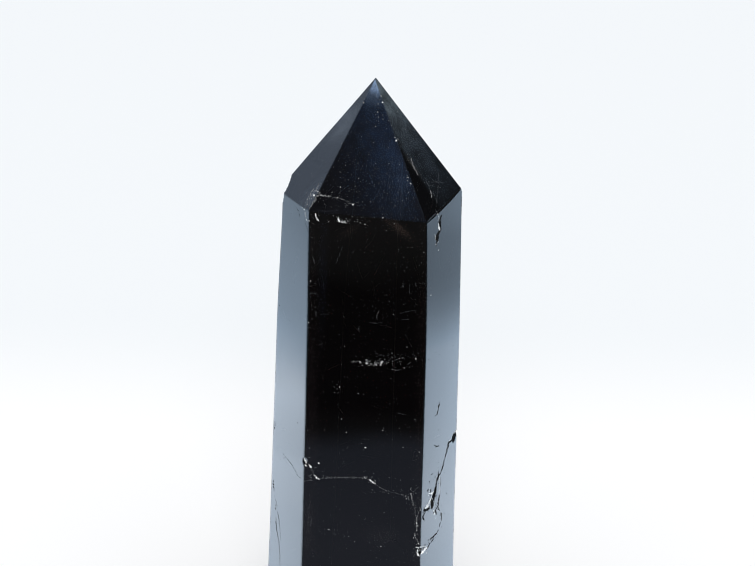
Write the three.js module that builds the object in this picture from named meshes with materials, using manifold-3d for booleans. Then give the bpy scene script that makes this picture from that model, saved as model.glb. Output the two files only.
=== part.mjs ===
// A morion quartz point: one prism of nearly black smoky quartz, sawn flat at the foot and cut to a
// six-faced tip. Millimetres, +Z up, the foot on z = 0 and the footprint centred on the origin.

import * as THREE from 'three';
import { mergeVertices } from 'three/addons/utils/BufferGeometryUtils.js';
import Module from 'manifold-3d';

const height = 100;            // foot to tip
const shoulderDrop = 17;       // from the tip down to the level where the prism faces begin
const footBevel = 0.5;         // the small bevel ground all round the sawn foot
const stockSize = 400;         // edge of the blocks that grind the faces, larger than the crystal

// Going round from the front, seen from above. faceTurn is the way a prism face looks, in degrees from
// +X; reach is its distance at the shoulder from the upright line through the tip; lean is how far it
// spreads towards the foot, in degrees. Above each face a tip facet looks tipTurn and slopes tipSlope.
const sides = [
  { name: 'front', faceTurn: 270, reach: 14.15, lean: 0, tipTurn: 274.2, tipSlope: 50.6 },
  { name: 'frontRight', faceTurn: 330, reach: 14.48, lean: 0.15, tipTurn: 323.2, tipSlope: 49.6 },
  { name: 'backRight', faceTurn: 30, reach: 9.68, lean: 0.25, tipTurn: 30, tipSlope: 60.6 },
  { name: 'back', faceTurn: 90, reach: 12.7, lean: 0.3, tipTurn: 88, tipSlope: 53.4 },
  { name: 'backLeft', faceTurn: 150, reach: 8.65, lean: 2.1, tipTurn: 150, tipSlope: 59.8 },
  { name: 'frontLeft', faceTurn: 210, reach: 15.7, lean: 0.15, tipTurn: 206.2, tipSlope: 47.0 },
];

// Scars where a flake came away. Each is hollowed by a ball of the radius given, sunk to the depth
// given. It sits on one side's face, across from the tip's upright (to the right, seen from outside)
// and at a drop below the tip; on a tip facet if tipFacet is set; turned half way towards a second
// side where it nicks the edge between them.
const scars = [
  { name: 'shoulderFlake', side: 'front', tipFacet: true, across: -8, drop: 15.9, ball: 9, depth: 0.3 },
  { name: 'cornerWear', side: 'frontLeft', towards: 'backLeft', across: -3, drop: 17, ball: 6, depth: 0.6 },
  { name: 'leftNick', side: 'front', towards: 'frontLeft', across: -10, drop: 60.9, ball: 1.2, depth: 0.3 },
  { name: 'edgeNick', side: 'frontRight', towards: 'backRight', across: 3, drop: 60.7, ball: 1, depth: 0.4 },
  { name: 'ringNick', side: 'frontRight', towards: 'front', across: -7.6, drop: 77, ball: 1.2, depth: 0.3 },
  { name: 'shaftHollow', side: 'frontRight', across: -4.8, drop: 68.9, ball: 0.8, depth: 0.3 },
  { name: 'shoulderPit', side: 'frontRight', across: -4.7, drop: 22.3, ball: 1, depth: 0.25 },
];

const morion = new THREE.MeshStandardMaterial({ color: 0x14100e, roughness: 0.06, metalness: 0 });

const wasm = await Module();
wasm.setup();

const toSolid = (geometry) => {
  const bare = geometry.clone();
  bare.deleteAttribute('normal');
  bare.deleteAttribute('uv');
  const merged = mergeVertices(bare, 1e-4);
  return new wasm.Manifold(new wasm.Mesh({
    numProp: 3,
    vertProperties: new Float32Array(merged.attributes.position.array),
    triVerts: new Uint32Array(merged.index.array),
  }));
};

const toGeometry = (solid) => {
  const mesh = solid.getMesh();
  const geometry = new THREE.BufferGeometry();
  geometry.setAttribute('position', new THREE.BufferAttribute(mesh.vertProperties, 3));
  geometry.setIndex(new THREE.BufferAttribute(mesh.triVerts, 1));
  geometry.computeVertexNormals();
  return geometry;
};

const direction = (turn, slope) => {
  const around = THREE.MathUtils.degToRad(turn);
  const down = THREE.MathUtils.degToRad(slope);
  return new THREE.Vector3(
    Math.sin(down) * Math.cos(around),
    Math.sin(down) * Math.sin(around),
    Math.cos(down),
  );
};

// A prism face's distance from the upright line through the tip, at a drop below the tip.
const reachAt = (side, drop) =>
  side.reach + (drop - shoulderDrop) * Math.tan(THREE.MathUtils.degToRad(side.lean));

// Where the edge between two neighbouring prism faces stands, at a drop below the tip.
const edgePoint = (one, other, drop) => {
  const a = direction(one.faceTurn, 90);
  const b = direction(other.faceTurn, 90);
  const [reachA, reachB] = [reachAt(one, drop), reachAt(other, drop)];
  const cross = a.x * b.y - a.y * b.x;
  return new THREE.Vector3(
    (reachA * b.y - reachB * a.y) / cross,
    (reachB * a.x - reachA * b.x) / cross,
    height - drop,
  );
};

// A block whose one flat side lies on the plane through a point, the rest of it on the outer side.
const grindBlock = (point, outward) => {
  const block = new THREE.BoxGeometry(stockSize, stockSize, stockSize);
  block.translate(0, 0, stockSize / 2);
  block.applyQuaternion(new THREE.Quaternion().setFromUnitVectors(new THREE.Vector3(0, 0, 1), outward));
  return toSolid(block.translate(point.x, point.y, point.z));
};

// The rough: the six-sided section at its widest, drawn up to the full height.
const makeRough = () => {
  const corners = sides.map((side, i) => edgePoint(side, sides[(i + 1) % sides.length], height));
  const section = new THREE.Shape(corners.map((p) => new THREE.Vector2(p.x, p.y)));
  return toSolid(new THREE.ExtrudeGeometry(section, { depth: height, bevelEnabled: false }));
};

const grindFaces = (rough) => {
  const tip = new THREE.Vector3(0, 0, height);
  let stone = rough;
  for (const side of sides) {
    const facing = direction(side.faceTurn, 90);
    if (side.lean > 0) {
      const shoulderPoint = facing.clone().multiplyScalar(side.reach).setZ(height - shoulderDrop);
      stone = stone.subtract(grindBlock(shoulderPoint, direction(side.faceTurn, 90 - side.lean)));
    }
    stone = stone.subtract(grindBlock(tip, direction(side.tipTurn, side.tipSlope)));
    const footEdge = facing.clone().multiplyScalar(reachAt(side, height) - footBevel);
    stone = stone.subtract(grindBlock(footEdge, direction(side.faceTurn, 135)));
  }
  return stone;
};

const sideNamed = (name) => sides.find((side) => side.name === name);

// A point of one side's shaft face or tip facet, with the way that the face looks.
const onFace = ({ side, tipFacet, across, drop }) => {
  const { faceTurn, lean, tipTurn, tipSlope } = side;
  const outward = tipFacet ? direction(tipTurn, tipSlope) : direction(faceTurn, 90 - lean);
  const flat = direction(tipFacet ? tipTurn : faceTurn, 90);
  const reach = tipFacet ? drop / Math.tan(THREE.MathUtils.degToRad(tipSlope)) : reachAt(side, drop);
  const place = flat.clone().multiplyScalar(reach).setZ(height - drop);
  place.addScaledVector(new THREE.Vector3(-flat.y, flat.x, 0), across);
  return { place, outward };
};

const flakeAway = (stone, scar) => {
  const { place, outward } = onFace({ ...scar, side: sideNamed(scar.side) });
  if (scar.towards) {
    outward.add(direction(sideNamed(scar.towards).faceTurn, 90)).normalize();
  }
  const ball = new THREE.SphereGeometry(scar.ball, 24, 16);
  place.addScaledVector(outward, scar.ball - scar.depth);
  return stone.subtract(toSolid(ball.translate(place.x, place.y, place.z)));
};

const crystal = scars.reduce(flakeAway, grindFaces(makeRough()));
const geometry = toGeometry(crystal);

// Centre the footprint on the origin.
geometry.computeBoundingBox();
const middle = geometry.boundingBox.getCenter(new THREE.Vector3());
geometry.translate(-middle.x, -middle.y, 0);

const point = new THREE.Mesh(geometry, morion);
point.name = 'morion_point';

const model = new THREE.Group();
model.add(point);

export default model;
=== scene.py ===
import itertools
import math

import bpy
import numpy as np
from mathutils import Matrix, Vector


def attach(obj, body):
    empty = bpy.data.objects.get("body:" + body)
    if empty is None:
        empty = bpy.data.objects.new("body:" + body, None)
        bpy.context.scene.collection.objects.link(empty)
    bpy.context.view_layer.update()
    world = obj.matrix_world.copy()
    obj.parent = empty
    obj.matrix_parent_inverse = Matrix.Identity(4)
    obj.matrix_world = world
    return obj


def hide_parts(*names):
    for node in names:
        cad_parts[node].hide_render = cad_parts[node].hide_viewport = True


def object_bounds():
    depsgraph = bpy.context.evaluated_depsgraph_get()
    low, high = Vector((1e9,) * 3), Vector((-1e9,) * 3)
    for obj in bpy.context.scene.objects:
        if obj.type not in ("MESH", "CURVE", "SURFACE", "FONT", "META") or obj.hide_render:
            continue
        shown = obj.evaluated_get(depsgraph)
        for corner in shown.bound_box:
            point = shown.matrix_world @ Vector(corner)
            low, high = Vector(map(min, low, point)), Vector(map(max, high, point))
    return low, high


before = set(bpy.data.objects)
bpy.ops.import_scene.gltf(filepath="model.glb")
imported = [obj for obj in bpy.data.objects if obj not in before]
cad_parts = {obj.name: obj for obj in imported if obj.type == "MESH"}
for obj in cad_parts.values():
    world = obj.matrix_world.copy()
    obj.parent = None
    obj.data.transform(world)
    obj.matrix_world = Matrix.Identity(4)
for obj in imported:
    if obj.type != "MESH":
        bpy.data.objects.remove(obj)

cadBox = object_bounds()
mm = 0.001
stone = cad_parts["morion_point"]
scene = bpy.context.scene
print("frame loaded")


# small helpers

def linear(hexColour):
    # sRGB part c: c / 12.92 up to 0.04045, above it ((c + 0.055) / 1.055) to the power 2.4
    parts = [int(hexColour[i:i + 2], 16) / 255 for i in (1, 3, 5)]
    return (*(p / 12.92 if p <= 0.04045 else ((p + 0.055) / 1.055) ** 2.4 for p in parts), 1.0)


def nodeAdder(tree):
    # gives add(kind, sockets, settings), which adds one node. A socket takes a value, or a link where
    # it is given an output or a node, which stands for its first output
    tree.nodes.clear()

    def add(kind, sockets=None, **settings):
        node = tree.nodes.new("ShaderNode" + kind)
        for key, value in settings.items():
            setattr(node, key, value)
        for key, value in (sockets or {}).items():
            if isinstance(value, bpy.types.Node):
                value = value.outputs[0]
            if isinstance(value, bpy.types.NodeSocket):
                tree.links.new(value, node.inputs[key])
            else:
                node.inputs[key].default_value = value
        return node

    return add


def newMaterial(name):
    material = bpy.data.materials.new(name)
    material.use_nodes = True
    return material, nodeAdder(material.node_tree)


def putMesh(name, points, quads, triangles, material, smooth=True):
    # points in metres; quads and triangles are arrays of point numbers
    mesh = bpy.data.meshes.new(name)
    loops = np.concatenate([np.ravel(quads), np.ravel(triangles)]).astype(np.int32)
    sizes = np.concatenate([np.full(len(quads), 4), np.full(len(triangles), 3)])
    mesh.vertices.add(len(points))
    mesh.vertices.foreach_set("co", points.astype(np.float32).ravel())
    mesh.loops.add(len(loops))
    mesh.loops.foreach_set("vertex_index", loops)
    mesh.polygons.add(len(sizes))
    starts = np.concatenate([[0], np.cumsum(sizes)[:-1]])
    mesh.polygons.foreach_set("loop_start", starts.astype(np.int32))
    mesh.polygons.foreach_set("use_smooth", np.full(len(sizes), smooth))
    mesh.update(calc_edges=True)
    mesh.validate()
    piece = bpy.data.objects.new(name, mesh)
    scene.collection.objects.link(piece)
    mesh.materials.append(material)
    return piece


def putAttribute(piece, name, values):
    # one number, or one colour, for each point
    kind, part = ("FLOAT_COLOR", "color") if values.ndim > 1 else ("FLOAT", "value")
    attribute = piece.data.attributes.new(name, kind, "POINT")
    attribute.data.foreach_set(part, values.astype(np.float32).ravel())


def joined(*parts):
    # sets of arrays, end to end
    return [np.concatenate(column) for column in zip(*parts)]


def unit(vectors):
    # each vector over its length
    return vectors / np.linalg.norm(vectors, axis=-1, keepdims=True)


def acrossAndUp(normals):
    # in each plane, the level direction, upright x normal, and the steepest one, normal x level
    level = unit(np.cross([0, 0, 1.0], normals))
    return level, np.cross(normals, level)


def easeStep(x):
    # 0 below 0, 1 above 1 and 3 x^2 - 2 x^3 between
    x = np.clip(x, 0, 1)
    return x * x * (3 - 2 * x)


# the ground faces and the tip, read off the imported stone

stonePlan = {
    "sameWay": 0.9999,    # cosine between the normals of triangles on one plane
    "sameOffset": 0.02,   # mm
    "smallest": 30,       # square mm; a scar's and the bevel's planes are smaller
    "steep": 0.2,         # rise of a normal that parts shaft from tip and foot
    "shoulderDrop": 17,   # mm from the tip down to the shoulder
}


def groundFaces(node, plan):
    # triangles on one plane are gathered, largest first; a face is its unit normal and its offset
    mesh = node.data
    count = len(mesh.polygons)
    normals, centres, areas = np.empty(count * 3), np.empty(count * 3), np.empty(count)
    mesh.polygons.foreach_get("normal", normals)
    mesh.polygons.foreach_get("center", centres)
    mesh.polygons.foreach_get("area", areas)
    normals, centres = normals.reshape(-1, 3), centres.reshape(-1, 3)
    offsets = (normals * centres).sum(1)
    left = np.ones(count, bool)
    found = []
    while left.any():
        lead = np.argmax(np.where(left, areas, 0))
        same = left & (normals @ normals[lead] > plan["sameWay"])
        same &= abs(offsets - offsets[lead]) < plan["sameOffset"] * mm
        if areas[same].sum() < plan["smallest"] * mm * mm:
            break
        found.append((*normals[lead], offsets[lead]))
        left &= ~same
    found = np.array(found)
    return found[np.argsort(np.arctan2(found[:, 1], found[:, 0]) % math.tau)]


allFaces = groundFaces(stone, stonePlan)
shaftFaces = allFaces[abs(allFaces[:, 2]) < stonePlan["steep"]]
tipFaces = allFaces[allFaces[:, 2] > stonePlan["steep"]]
tip = np.linalg.lstsq(tipFaces[:, :3], tipFaces[:, 3], rcond=None)[0]
sideNames = ["backRight", "back", "backLeft", "frontLeft", "front", "frontRight"]
planes = np.concatenate([shaftFaces, tipFaces])
shoulder = tip[2] - stonePlan["shoulderDrop"] * mm


def planeOf(side, tipFacet=False):
    # row of planes that holds a side's shaft face or tip facet
    return sideNames.index(side) + len(sideNames) * bool(tipFacet)


def levelOf(row):
    # the level direction along a face, to the right seen from outside
    return acrossAndUp(planes[row, :3])[0]


def facePlaces(points, row):
    # across from the tip's upright and drop below the tip, both in mm
    return (points - tip) @ levelOf(row) / mm, (tip[2] - points[..., 2]) / mm


# camera: a long lens looking down on the front face, turned a little clockwise

cameraPlan = {
    "elevation": 28.0,      # degrees above the level
    "roll": 1.2,            # degrees
    "lens": 500.0,          # mm
    "sensor": 36.0,
    "pictureWidth": 119.3,  # mm across the picture at the tip
    "tipAbove": 32.2,       # mm from the picture's middle up to the tip
    "tipLeft": 0.4,
}


def placeCamera(plan):
    down, roll = math.radians(plan["elevation"]), math.radians(plan["roll"])
    ahead = np.array([0, math.cos(down), -math.sin(down)])
    upright = np.array([0, math.sin(down), math.cos(down)])
    level = np.array([1.0, 0, 0])
    right = level * math.cos(roll) + upright * math.sin(roll)
    up = upright * math.cos(roll) - level * math.sin(roll)
    aim = tip + (right * plan["tipLeft"] - up * plan["tipAbove"]) * mm
    data = bpy.data.cameras.new("camera")
    data.lens, data.sensor_width = plan["lens"], plan["sensor"]
    data.clip_start, data.clip_end = 0.1, 20
    camera = bpy.data.objects.new("camera", data)
    scene.collection.objects.link(camera)
    place = aim - ahead * plan["pictureWidth"] * mm * plan["lens"] / plan["sensor"]
    camera.matrix_world = Matrix.Translation(Vector(place)) @ Matrix(
        np.column_stack([right, up, -ahead]).tolist()).to_4x4()
    scene.camera = camera


placeCamera(cameraPlan)
scene.view_settings.view_transform = "Standard"
scene.cycles.filter_width = 1.15
print("camera placed")


# the crystal's skin, a rounded solid that every other piece is laid on

skinPlan = {
    "sharpness": 13.0,      # per mm; an edge is worn back by ln 2 over this
    "tipSharpness": 30.0,
    "peakSharpness": 50.0,
    "sharpenOver": 5,       # mm under the shoulder, where the edges sharpen to the tip's
    "peakOver": 4,          # mm under the tip, where they sharpen to the peak's
    "settleSteps": 6,
    "bow": {"frontRight": 0.22, "frontLeft": -0.07, "backLeft": 0.36, "backRight": 0.06},  # mm
    "bowSkew": 1.33,        # 0 puts the fullest bow half way up, more puts it higher
    "shoulderLift": {"frontRight": 0.12, "backRight": 0.28, "backLeft": 0.2},  # mm, gone at the foot
    "tipLift": {"backRight": 0.33, "backLeft": 0.12, "back": 0.4},  # mm
    # mm that a face swells across its width
    "crown": {"frontLeft": 0.07, "frontRight": 0.13, "backLeft": 0.07, "back": 0.07, "backRight": 0.07},
    "wave": 0.005,          # mm, slow waves left by hand lapping
    "waves": 8,
    "waveLengths": (9, 30),
    "waveSeed": 11,
    "footBevel": 0.5,       # mm
    "edgeStep": 0.075,      # mm between columns at an edge
    "edgeGrowth": 0.3,      # added for each mm away from it
    "frontStep": 0.32,      # and the widest step on the faces in front
    "backStep": 0.8,
    "sameColumn": 0.004,    # share of a side within which a tip edge has the shaft edge's column
    "fineStep": 0.15,       # columns and rows at a hollow
    "fineBall": 2,          # mm; columns draw together at smaller balls than this
    "fineShare": 0.8,       # within this share of their radius
    "rowBall": 0.9,         # mm; rows at larger balls are wider apart, up to twice
    "rowStep": 1.0,
    "tipStep": 0.36,
    "shoulderRow": 0.06,    # rows at the shoulder and at the peak
    "peakRow": 0.03,
    "rowGrowth": 0.2,
    "tipLength": 26,        # mm along the tip's faces, for spacing the rows
    "peakGap": 0.06,        # mm from the last ring up to the peak of the planes
    "peakRise": 0.02,       # mm that the last point stands above the last ring
    "facing": 0.3,          # cosine from which a shaft face counts for a column
    "bevelRows": 5,
    "footRadius": 13,       # mm
    "footRings": (0.97, 0.8, 0.6, 0.4, 0.2),  # shares of the foot's rim
}


def bySide(shaft, tipPart=None):
    # one number for each plane, read from a dictionary for the shaft and one for the tip
    return np.array([(shaft or {}).get(side, 0) for side in sideNames]
                    + [(tipPart or {}).get(side, 0) for side in sideNames]) * mm


def bowAt(z):
    # how far each plane is pushed out at the heights z: its bow times the square of sin(pi w), where
    # w = u (1 + skew) / (1 + skew u) and u runs from 0 at the shoulder to 1 at the foot, and its
    # shoulder lift times (1 - u)^2; the tip planes have a fixed lift
    u = np.clip((shoulder - z) / shoulder, 0, 1)[..., None]
    skew = skinPlan["bowSkew"]
    shape = np.sin(math.pi * u * (1 + skew) / (1 + skew * u)) ** 2
    return (shape * bySide(skinPlan["bow"]) + (1 - u) ** 2 * bySide(skinPlan["shoulderLift"])
            + bySide(None, skinPlan["tipLift"]))


def edgesAt(z):
    # where neighbouring shaft faces meet at the heights z, as (height, edge, xy)
    reach = shaftFaces[:, 3] + bowAt(z)[:, :len(shaftFaces)] - shaftFaces[:, 2] * z[:, None]
    a, b = shaftFaces, np.roll(shaftFaces, -1, axis=0)
    reachA, reachB = reach, np.roll(reach, -1, axis=1)
    cross = a[:, 0] * b[:, 1] - a[:, 1] * b[:, 0]
    return np.stack([(reachA * b[:, 1] - reachB * a[:, 1]) / cross,
                     (reachB * a[:, 0] - reachA * b[:, 0]) / cross], axis=-1)


# middle and half width of each shaft face at half height
corners = edgesAt(np.array([shoulder / 2]))[0]
faceEnds = [[(corner - tip[:2]) @ levelOf(row)[:2] for corner in (corners[row - 1], corners[row])]
            for row in range(len(sideNames))]
faceSpans = [((a + b) / 2, (b - a) / 2) for a, b in faceEnds]


def crownAt(points):
    # how far each shaft plane swells across its width: its crown times 1 - (a / w)^2, a being the
    # distance from the face's middle and w its half width
    swell = np.zeros((*points.shape[:-1], len(planes)))
    for row, (middle, half) in enumerate(faceSpans):
        a = (points[..., :2] - tip[:2]) @ levelOf(row)[:2]
        swell[..., row] = 1 - np.clip((a - middle) / half, -1, 1) ** 2
    return swell * bySide(skinPlan["crown"])


def waveAt(points, plan):
    # a sum of plane waves in seeded directions: amplitude times sin(2 pi p.d / length + phase)
    dice = np.random.default_rng(plan["waveSeed"])
    ways = unit(dice.normal(size=(plan["waves"], 3)))
    lengths = dice.uniform(*plan["waveLengths"], plan["waves"]) * mm
    phases = dice.uniform(0, math.tau, plan["waves"])
    return plan["wave"] * mm * np.sin(points @ (ways.T / lengths) * math.tau + phases).sum(-1)


def skinGap(points):
    # the rounded solid: ln of the sum of exp(k g) over k is 0 on its surface, g being each plane's
    # distance; gives that value, the blended normal and each plane's share in it
    plan, z = skinPlan, points[..., 2]
    high = easeStep((z - shoulder) / (plan["sharpenOver"] * mm) + 1)
    top = np.clip((z - tip[2]) / (plan["peakOver"] * mm) + 1, 0, 1)
    sharp = (plan["sharpness"] + (plan["tipSharpness"] - plan["sharpness"]) * high
             + (plan["peakSharpness"] - plan["tipSharpness"]) * top) / mm
    gaps = points @ planes[:, :3].T - planes[:, 3] - bowAt(z) - crownAt(points)
    most = gaps.max(-1, keepdims=True)
    shares = np.exp((gaps - most) * sharp[..., None])
    total = shares.sum(-1, keepdims=True)
    shares = shares / total
    value = most[..., 0] + np.log(total[..., 0]) / sharp - waveAt(points, plan)
    return value, shares @ planes[:, :3], shares


def settle(points, ways):
    # slides points along ways onto the skin, by Newton's steps: value over the slope along the way
    for _ in range(skinPlan["settleSteps"]):
        value, normal, _ = skinGap(points)
        points = points - ways * (value / (normal * ways).sum(-1))[..., None]
    return points, unit(normal)


def onSkin(side, across, drop, tipFacet=False, towards=None):
    # points of the skin that lie across from the tip's upright and drop below the tip, in mm, found
    # along the face's normal, or half way between two faces' normals
    row = planeOf(side, tipFacet)
    across, drop = np.asarray(across, float)[..., None], np.asarray(drop, float)[..., None]
    normal = planes[row, :3]
    outward = np.array([normal[0], normal[1], 0])
    place = tip + levelOf(row) * across * mm - np.array([0, 0, mm]) * drop
    place = place + outward * (planes[row, 3] - place @ normal)[..., None] / (outward @ normal)
    if towards:
        normal = unit(normal + planes[planeOf(towards, tipFacet), :3])
    return settle(place, np.broadcast_to(normal, place.shape))


# scars: a ball hollows each, stretched along the face's upright
hollows = [
    {"side": "front", "tipFacet": True, "across": -8, "drop": 15.9, "ball": 9, "depth": 0.2},
    {"side": "frontLeft", "towards": "backLeft", "across": -2.9, "drop": 17.0, "ball": 6, "depth": 0.58},
    {"side": "front", "towards": "frontLeft", "across": -10, "drop": 61.4, "ball": 0.9, "depth": 0.3},
    {"side": "frontRight", "towards": "backRight", "across": 2.6, "drop": 60.7, "ball": 0.6, "depth": 0.42},
    {"side": "frontRight", "across": 1.9, "drop": 61.2, "ball": 0.8, "depth": 0.3, "stretch": 1.4},
    {"side": "frontRight", "towards": "front", "across": -7.9, "drop": 77.4, "ball": 1.0, "depth": 0.28},
    {"side": "frontRight", "across": -4.1, "drop": 69.1, "ball": 0.55, "depth": 0.25, "stretch": 1.8},
    {"side": "frontRight", "across": -4.1, "drop": 19.7, "ball": 0.4, "depth": 0.2, "stretch": 2.2},
    {"side": "frontRight", "across": -4.8, "drop": 22.0, "ball": 0.45, "depth": 0.22, "stretch": 2.2},
]
ripplePlan = {
    "height": 0.05,  # of the scar's depth
    "pitch": 0.3,    # mm
    "from": 0.6,     # of the ball's radius, up from its middle to where they start
}


def scoop(points, hollow):
    # a point inside the ball goes back along the scar's normal n to the far wall: with q the way
    # from the ball's middle, its upright part divided by the stretch, it moves
    # q.n + sqrt((q.n)^2 - q.q + R^2), with shell-like ripples spreading from the top of the rim
    place, normal = onSkin(hollow["side"], hollow["across"], hollow["drop"],
                           hollow.get("tipFacet"), hollow.get("towards"))
    _, upright = acrossAndUp(normal)
    ball, depth, stretch = hollow["ball"] * mm, hollow["depth"] * mm, hollow.get("stretch", 1)
    away = points - (place + normal * (ball - depth))
    away = away - (away @ upright)[..., None] * (1 - 1 / stretch) * upright
    along = away @ normal
    inside = ball ** 2 - (away ** 2).sum(-1)
    rim = np.linalg.norm(away - upright * ball * ripplePlan["from"], axis=-1)
    ripple = ripplePlan["height"] * depth * np.sin(rim / (ripplePlan["pitch"] * mm) * math.tau)
    move = along + np.sqrt(np.clip(along ** 2 + inside, 0, None)) + ripple
    return points - normal * np.where(inside > 0, np.clip(move, 0, None), 0)[..., None]


def graded(start, end, stepAt):
    # places from start up to end, each about stepAt(place) past the last: the integral of 1 / step is
    # divided evenly
    samples = 4000
    along = np.linspace(start, end, samples)
    rate = 1 / stepAt(along)
    total = np.concatenate([[0], np.cumsum((rate[1:] + rate[:-1]) / 2 * np.diff(along))])
    count = max(1, round(total[-1]))
    return np.interp(np.linspace(0, total[-1], count + 1), total, along)


def columnFractions(plan):
    # columns going round: a side number plus how far along that side, with one column on every edge
    # of the shaft and of the tip, close ones beside them and close ones at each hollow smaller than fineBall
    corners = edgesAt(np.array([shoulder]))[0]
    a, b = tipFaces[:, :3], np.roll(tipFaces[:, :3], -1, axis=0)
    ridge = np.cross(a, b)
    ridge *= -np.sign(ridge[:, 2:3])
    columns = []
    for side in range(len(corners)):
        here, there = corners[side - 1], corners[side]
        length = np.linalg.norm(there - here) / mm
        marks = {0.0, 1.0}
        for way in ridge:
            # the ridge's direction from the tip crosses this side where here + f (there - here) is
            # parallel to it
            bottom = way[0] * (there - here)[1] - way[1] * (there - here)[0]
            fraction = -(way[0] * (here - tip[:2])[1] - way[1] * (here - tip[:2])[0]) / bottom
            spot = here + fraction * (there - here) - tip[:2]
            if abs(fraction - 0.5) < 0.5 - plan["sameColumn"] and spot @ way[:2] > 0:
                marks.add(float(fraction))
        marks = np.array(sorted(marks))
        widest = plan["frontStep"] if sideNames[side].startswith("front") else plan["backStep"]
        start = (here - tip[:2]) @ levelOf(side)[:2] / mm
        scars = [((h["across"] - start) / length, h["ball"] / length) for h in hollows
                 if h["side"] == sideNames[side] and h["ball"] < plan["fineBall"]]

        def step(f):
            near = abs(f[:, None] - marks).min(1) * length
            wide = np.clip(plan["edgeStep"] + plan["edgeGrowth"] * near, 0, widest)
            for middle, half in scars:
                past = np.clip(abs(f - middle) - half * plan["fineShare"], 0, None) * length
                wide = np.minimum(wide, plan["fineStep"] + plan["edgeGrowth"] * past)
            return wide / length

        for first, last in zip(marks[:-1], marks[1:]):
            columns.append(side + graded(first, last, step)[:-1])
    return np.concatenate(columns)


def highestPoint(rows):
    # the corners of the solid are where three planes meet and no other plane cuts them off
    best = tip
    for three in itertools.combinations(rows, 3):
        corner = np.linalg.solve(np.array(three)[:, :3], np.array(three)[:, 3])
        if (rows[:, :3] @ corner - rows[:, 3]).max() < 1e-9 and corner[2] > best[2]:
            best = corner
    return best


def crystalGrid(plan):
    # rows climb from the foot to the tip; columns go round. Each point starts on the sharp solid and
    # slides level towards the tip's upright until it is on the skin; the hollows are scooped later, by
    # crystalMesh
    lifted = tipFaces.copy()
    lifted[:, 3] += bySide(None, plan["tipLift"])[len(sideNames):]
    peak = highestPoint(lifted)
    columns = columnFractions(plan)
    side = columns.astype(int)
    part = (columns - side)[None, :, None]
    bevel = plan["footBevel"] * mm

    def shaftRing(z):
        corners = edgesAt(z)
        here, there = corners[:, side - 1], corners[:, side]
        return here + (there - here) * part

    away = shaftRing(np.array([shoulder]))[0] - tip[:2]
    way = unit(away)
    # how far out a column's tip face runs for each metre down, and the height where a shaft face cuts it
    outward = way @ tipFaces[:, :2].T
    tipRun = np.where(outward > 1e-6, tipFaces[:, 2] / outward, np.inf).min(1)
    facing = way @ shaftFaces[:, :2].T
    base = shaftFaces[:, 3] - shaftFaces[:, :2] @ tip[:2]
    top = (tip[2] * tipRun[:, None] * facing - base) / (tipRun[:, None] * facing - shaftFaces[:, 2])
    top = np.where(facing > plan["facing"], top, -np.inf).max(1)

    def rowStep(z):
        step = np.full(z.shape, plan["rowStep"])
        for hollow in hollows:
            half = hollow["ball"] * hollow.get("stretch", 1)
            past = np.clip(abs(z - (tip[2] / mm - hollow["drop"])) - half, 0, None)
            fine = plan["fineStep"] * min(2, hollow["ball"] / plan["rowBall"])
            step = np.minimum(step, fine + plan["rowGrowth"] * past)
        return np.minimum(step, plan["shoulderRow"] + plan["rowGrowth"] * (shoulder / mm - z).clip(0))

    climb = graded(plan["footBevel"], shoulder / mm, rowStep)
    climb = (climb - climb[0]) / (climb[-1] - climb[0])
    z = bevel + (top - bevel) * climb[:, None]
    ring = shaftRing(z.mean(1))

    def tipStep(s):
        fromShoulder = plan["shoulderRow"] + plan["rowGrowth"] * s
        fromPeak = plan["peakRow"] + plan["rowGrowth"] * (plan["tipLength"] - s)
        return np.minimum(np.minimum(fromShoulder, fromPeak), plan["tipStep"])

    slope = graded(0, plan["tipLength"], tipStep)
    slope = slope[1:] / slope[-1]
    zTip = top + (peak[2] - plan["peakGap"] * mm - top) * slope[:-1, None]
    tipRing = peak[:2] + way * ((peak[2] - zTip) * tipRun)[..., None]
    points = np.concatenate([np.concatenate([ring, z[..., None]], axis=-1),
                             np.concatenate([tipRing, zTip[..., None]], axis=-1)])
    ways = np.concatenate([unit(ring - tip[:2]), np.broadcast_to(way, (len(zTip), *way.shape))])
    ways = np.concatenate([ways, np.zeros((*ways.shape[:2], 1))], axis=-1)
    return settle(points, ways)[0]
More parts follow.
